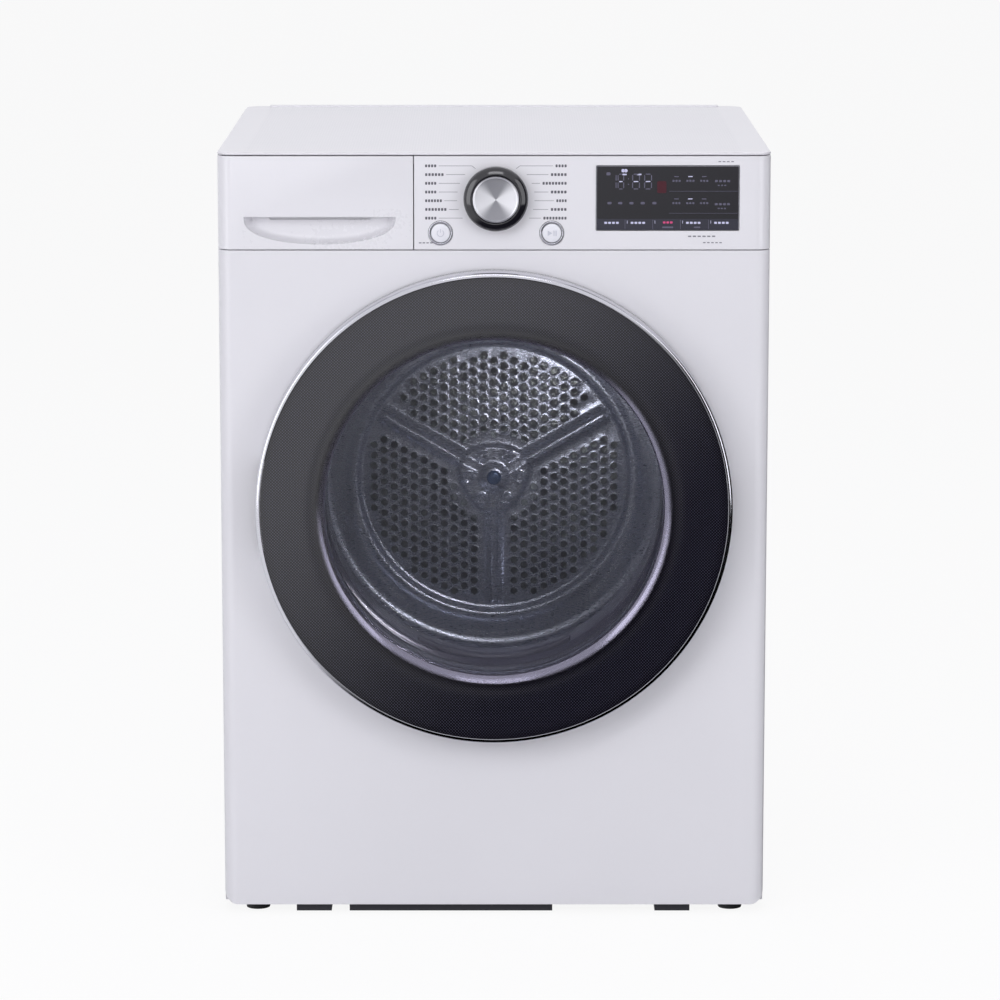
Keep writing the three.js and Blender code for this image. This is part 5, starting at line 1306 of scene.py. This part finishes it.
lifter_plastic = finish("lifter_plastic", (62, 63, 70), 0.4, grain=(0.8, 0.02), tone=0.06)
for number, angle in enumerate(LIFTER_ANGLES, 1):
    lifter = build(f"lifter_baffle_{number}", *lifter_shape(angle), lifter_plastic, 60)
    settle(round_edges(lifter, 2.0, 2, 60), "drum", "dark_plastic", f"lifter_{number}")

# ---------------------------------------------------------------------------------------------
# Loading collar and front bulkhead.
# A grey moulded bulkhead closes the cabinet in front of the drum. Its collar lines the opening
# and turns outward behind the front panel with a smooth light-catching lip.

BULKHEAD = -160
BULKHEAD_BACK = -157
BULKHEAD_HALF = 295
BULKHEAD_BOTTOM = 14.3
BULKHEAD_TOP = 734
COLLAR_WALL = 3
COLLAR_MOUTH = -283
COLLAR_SHOULDER = -222
FILTER_HALF = 85
FILTER_FRONT = -210
FILTER_BACK = -186
FILTER_HEIGHT = 108
AIR_WAY = (-262, -100, 47, 105)

grey_plastic = finish("grey_plastic", (118, 119, 128), 0.42, grain=(0.8, 0.02), tone=0.05)
collar_grey = finish(
    "collar_grey", (92, 91, 106), 0.22, metallic=0.45, grain=(5.0, 0.003), tone=0.05,
    Coat_Weight=0.4, Coat_Roughness=0.1)
collar_outer = COLLAR_RADIUS + COLLAR_WALL
collar_outline = smoothed([
    (collar_outer + 5, COLLAR_MOUTH), (collar_outer + 15, COLLAR_MOUTH),
    (collar_outer + 15, COLLAR_MOUTH + COLLAR_WALL), (collar_outer + 7, COLLAR_MOUTH + COLLAR_WALL),
    (collar_outer + 6, COLLAR_SHOULDER), (collar_outer, COLLAR_SHOULDER + 8), (collar_outer, BULKHEAD),
    (collar_outer + 12, BULKHEAD), (collar_outer + 12, BULKHEAD_BACK), (COLLAR_RADIUS, BULKHEAD_BACK),
    (COLLAR_RADIUS, COLLAR_SHOULDER + 5), (COLLAR_RADIUS + 3, COLLAR_SHOULDER - 2),
    (collar_outer + 2.5, COLLAR_SHOULDER - 6), (collar_outer + 3, COLLAR_MOUTH + 4),
    (collar_outer + 5, COLLAR_MOUTH)], 3.5, 4)
collar = weld(build("loading_collar", *lathe(closed(collar_outline), 144, 0, DOOR_Z), collar_grey))
filter_mouth = rounded(
    -FILTER_HALF - 0.5, FILTER_HALF + 0.5, FILTER_FRONT - 0.5, FILTER_BACK + 0.5, (1, 1, 1, 1), 3)
filter_slot_cut = prism(filter_mouth, DOOR_Z - collar_outer - 20, DOOR_Z - COLLAR_RADIUS / 2, "Z")
carve(collar, filter_slot_cut)
settle(collar, "root", "grey_plastic", "front_bulkhead")
bulkhead_sheet = build(
    "front_bulkhead_sheet",
    *prism(rounded(-BULKHEAD_HALF, BULKHEAD_HALF, BULKHEAD_BOTTOM, BULKHEAD_TOP, (8, 8, 8, 8), 4),
           BULKHEAD, BULKHEAD_BACK, "Y"), grey_plastic)
carve(bulkhead_sheet, prism(circle(0, DOOR_Z, collar_outer + 11.5), BULKHEAD - 1, BULKHEAD_BACK + 1, "Y"))
carve(bulkhead_sheet, prism(rounded(*AIR_WAY, (4, 4, 4, 4), 3), BULKHEAD - 1, BULKHEAD_BACK + 1, "Y"))
settle(bulkhead_sheet, "root", "grey_plastic")

# ---------------------------------------------------------------------------------------------
# Lint filter.
# A moulded frame that drops into the collar's foot. Its cap carries on the collar's curve with a
# glossy rolled lip in front, and fine blue mesh fills the windows of the frame.

filter_mesh = finish("filter_mesh", (76, 112, 156), 0.55, grain=(0.6, 0.08), tone=0.06)
filter_spread = math.degrees(math.asin(FILTER_HALF / COLLAR_RADIUS)) - 0.2


def sector(outline, steps):
    """An outline turned through the filter's share of the collar, with both ends closed."""
    points, faces = lathe(outline, steps, 0, DOOR_Z, -filter_spread, 2 * filter_spread)
    size = len(outline)
    faces += [tuple(range(size - 1)), tuple(steps * size + i for i in range(size - 1))]
    return points, faces


cap_outline = smoothed([
    (COLLAR_RADIUS - 2.5, FILTER_FRONT + 2), (COLLAR_RADIUS - 2.5, FILTER_FRONT + 6),
    (COLLAR_RADIUS, FILTER_FRONT + 9), (COLLAR_RADIUS, FILTER_BACK - 0.3),
    (COLLAR_RADIUS + 4, FILTER_BACK - 0.3), (COLLAR_RADIUS + 4, FILTER_FRONT + 0.3),
    (COLLAR_RADIUS, FILTER_FRONT + 0.3), (COLLAR_RADIUS - 2.5, FILTER_FRONT + 2)], 1.6, 3)
filter_cap = weld(build("lint_filter_cap", *sector(closed(cap_outline), 40), collar_grey))
settle(filter_cap, "filter", "filter_mesh")
filter_bottom = DOOR_Z - COLLAR_RADIUS - FILTER_HEIGHT
filter_frame = build(
    "lint_filter_frame",
    *prism(rounded(-FILTER_HALF, FILTER_HALF, filter_bottom, DOOR_Z - COLLAR_RADIUS / 2, (4, 4, 0, 0), 4),
           FILTER_FRONT + 0.3, FILTER_BACK - 0.3, "Y"), dark_plastic)
carve(filter_frame, prism(
    circle(0, DOOR_Z, COLLAR_RADIUS + 4.2, 144), FILTER_FRONT - 1, FILTER_BACK + 1, "Y"))
for side in (-1, 1):
    edges = sorted((side * 5, side * (FILTER_HALF - 8)))
    opening = rounded(*edges, filter_bottom + 10, DOOR_Z - COLLAR_RADIUS - 20, (4, 4, 4, 4), 4)
    carve(filter_frame, prism(opening, FILTER_FRONT - 1, FILTER_BACK + 1, "Y"))
settle(filter_frame, "filter", "filter_mesh", "lint_filter")

MESH_PITCH = 6
mesh_threads = []
threads_from = filter_bottom + 8
threads_to = DOOR_Z - COLLAR_RADIUS - 18
for i in range(int((2 * FILTER_HALF - 12) / MESH_PITCH) + 1):
    x = -FILTER_HALF + 6 + i * MESH_PITCH
    mesh_threads.append(bar_outline(x, (threads_from + threads_to) / 2, 0.8, threads_to - threads_from, 0.1))
threads = flat_marks("lint_filter_mesh_up", mesh_threads, filter_mesh, FILTER_BACK - 4, 0.8)
settle(threads, "filter", "filter_mesh")
mesh_threads = []
for i in range(int((threads_to - threads_from) / MESH_PITCH) + 1):
    mesh_threads.append(bar_outline(0, threads_from + i * MESH_PITCH, 2 * FILTER_HALF - 12, 0.8, 0.1))
threads = flat_marks("lint_filter_mesh_across", mesh_threads, filter_mesh, FILTER_BACK - 4.6, 0.8)
settle(threads, "filter", "filter_mesh")

# ---------------------------------------------------------------------------------------------
# Side panels.
# Folded sheet steel, powder coated like the front, with a shallow pressed field that keeps the
# flat sheet from drumming.

SIDE_FRONT = -264
SIDE_BACK = 315
SIDE_TOP = 844.5
FIELD_MARGIN = 45
FIELD_DEPTH = 1.0
FIELD_RADIUS = 30

for side, node in ((-1, "side_panel_left"), (1, "side_panel_right")):
    inner = HALF_WIDTH - SHEET
    flange = inner - 8
    section = [
        (HALF_WIDTH, SIDE_FRONT), (HALF_WIDTH, SIDE_BACK), (flange, SIDE_BACK), (flange, SIDE_BACK - SHEET),
        (inner, SIDE_BACK - SHEET), (inner, SIDE_FRONT + SHEET), (flange, SIDE_FRONT + SHEET),
        (flange, SIDE_FRONT)]
    panel = build(
        f"{node}_sheet", *prism([(side * x, y) for x, y in section], PANEL_BOTTOM, SIDE_TOP, "Z"),
        cabinet_paint)
    field_outline = rounded(
        SIDE_FRONT + FIELD_MARGIN, SIDE_BACK - FIELD_MARGIN, PANEL_BOTTOM + 2 * FIELD_MARGIN,
        SIDE_TOP - 2 * FIELD_MARGIN, (FIELD_RADIUS,) * 4, 8)
    carve(panel, prism(field_outline, side * (HALF_WIDTH - FIELD_DEPTH), side * (HALF_WIDTH + 5), "X"))
    settle(round_edges(panel, 0.7, 3), "root", "cabinet_paint", node)

# ---------------------------------------------------------------------------------------------
# Remaining solids.
# The hidden machinery keeps its own shapes and takes the finish of its real material: zinc plated
# steel, bare castings, grey and dark plastic, black paint, fins, felt and green circuit board.

zinc = finish("zinc_sheet", (168, 171, 174), 0.42, metallic=0.9, grain=(7.0, 0.008), tone=0.09)
cast_metal = finish("cast_metal", (126, 130, 135), 0.48, metallic=0.8, grain=(0.9, 0.05), tone=0.08)
felt = finish("felt", (92, 94, 98), 0.95, grain=(0.5, 0.12), tone=0.1, Sheen_Weight=0.4)
black_paint = finish("black_paint", (34, 35, 40), 0.45, grain=(1.2, 0.03), tone=0.08)
fin_stock = finish("fin_stock", (196, 200, 203), 0.38, metallic=0.9, grain=(1.0, 0.01), tone=0.06)
circuit_board = finish("circuit_board", (34, 92, 62), 0.5, grain=(0.8, 0.02), tone=0.08)

CARRIED_OVER = {
    zinc: ("rear_panel", "rear_duct_cover", "idler_arm", "door_hinge_plate", "door_hinge_arm",
           "door_strike"),
    cast_metal: ("knob_encoder", "drum_shaft", "rear_bearing", "roller_axle_left", "roller_axle_right",
                 "motor_body", "motor_shaft_pulley"),
    dark_plastic: ("base_tray", "power_inlet_gland", "lint_duct", "fan_wheel", "idler_pulley", "door_latch"),
    grey_plastic: ("tank_guide", "tank_body", "fan_housing", "drain_pump"),
    rubber: ("drive_belt", "front_roller_left", "front_roller_right", "foot_front_left",
             "foot_front_right", "foot_rear_left", "foot_rear_right"),
    felt: ("drum_front_seal",),
    black_paint: ("compressor",),
    fin_stock: ("evaporator", "condenser"),
    circuit_board: ("control_board",),
}
for material, nodes in CARRIED_OVER.items():
    for node in nodes:
        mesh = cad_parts[node].data
        mesh.materials.clear()
        mesh.materials.append(material)
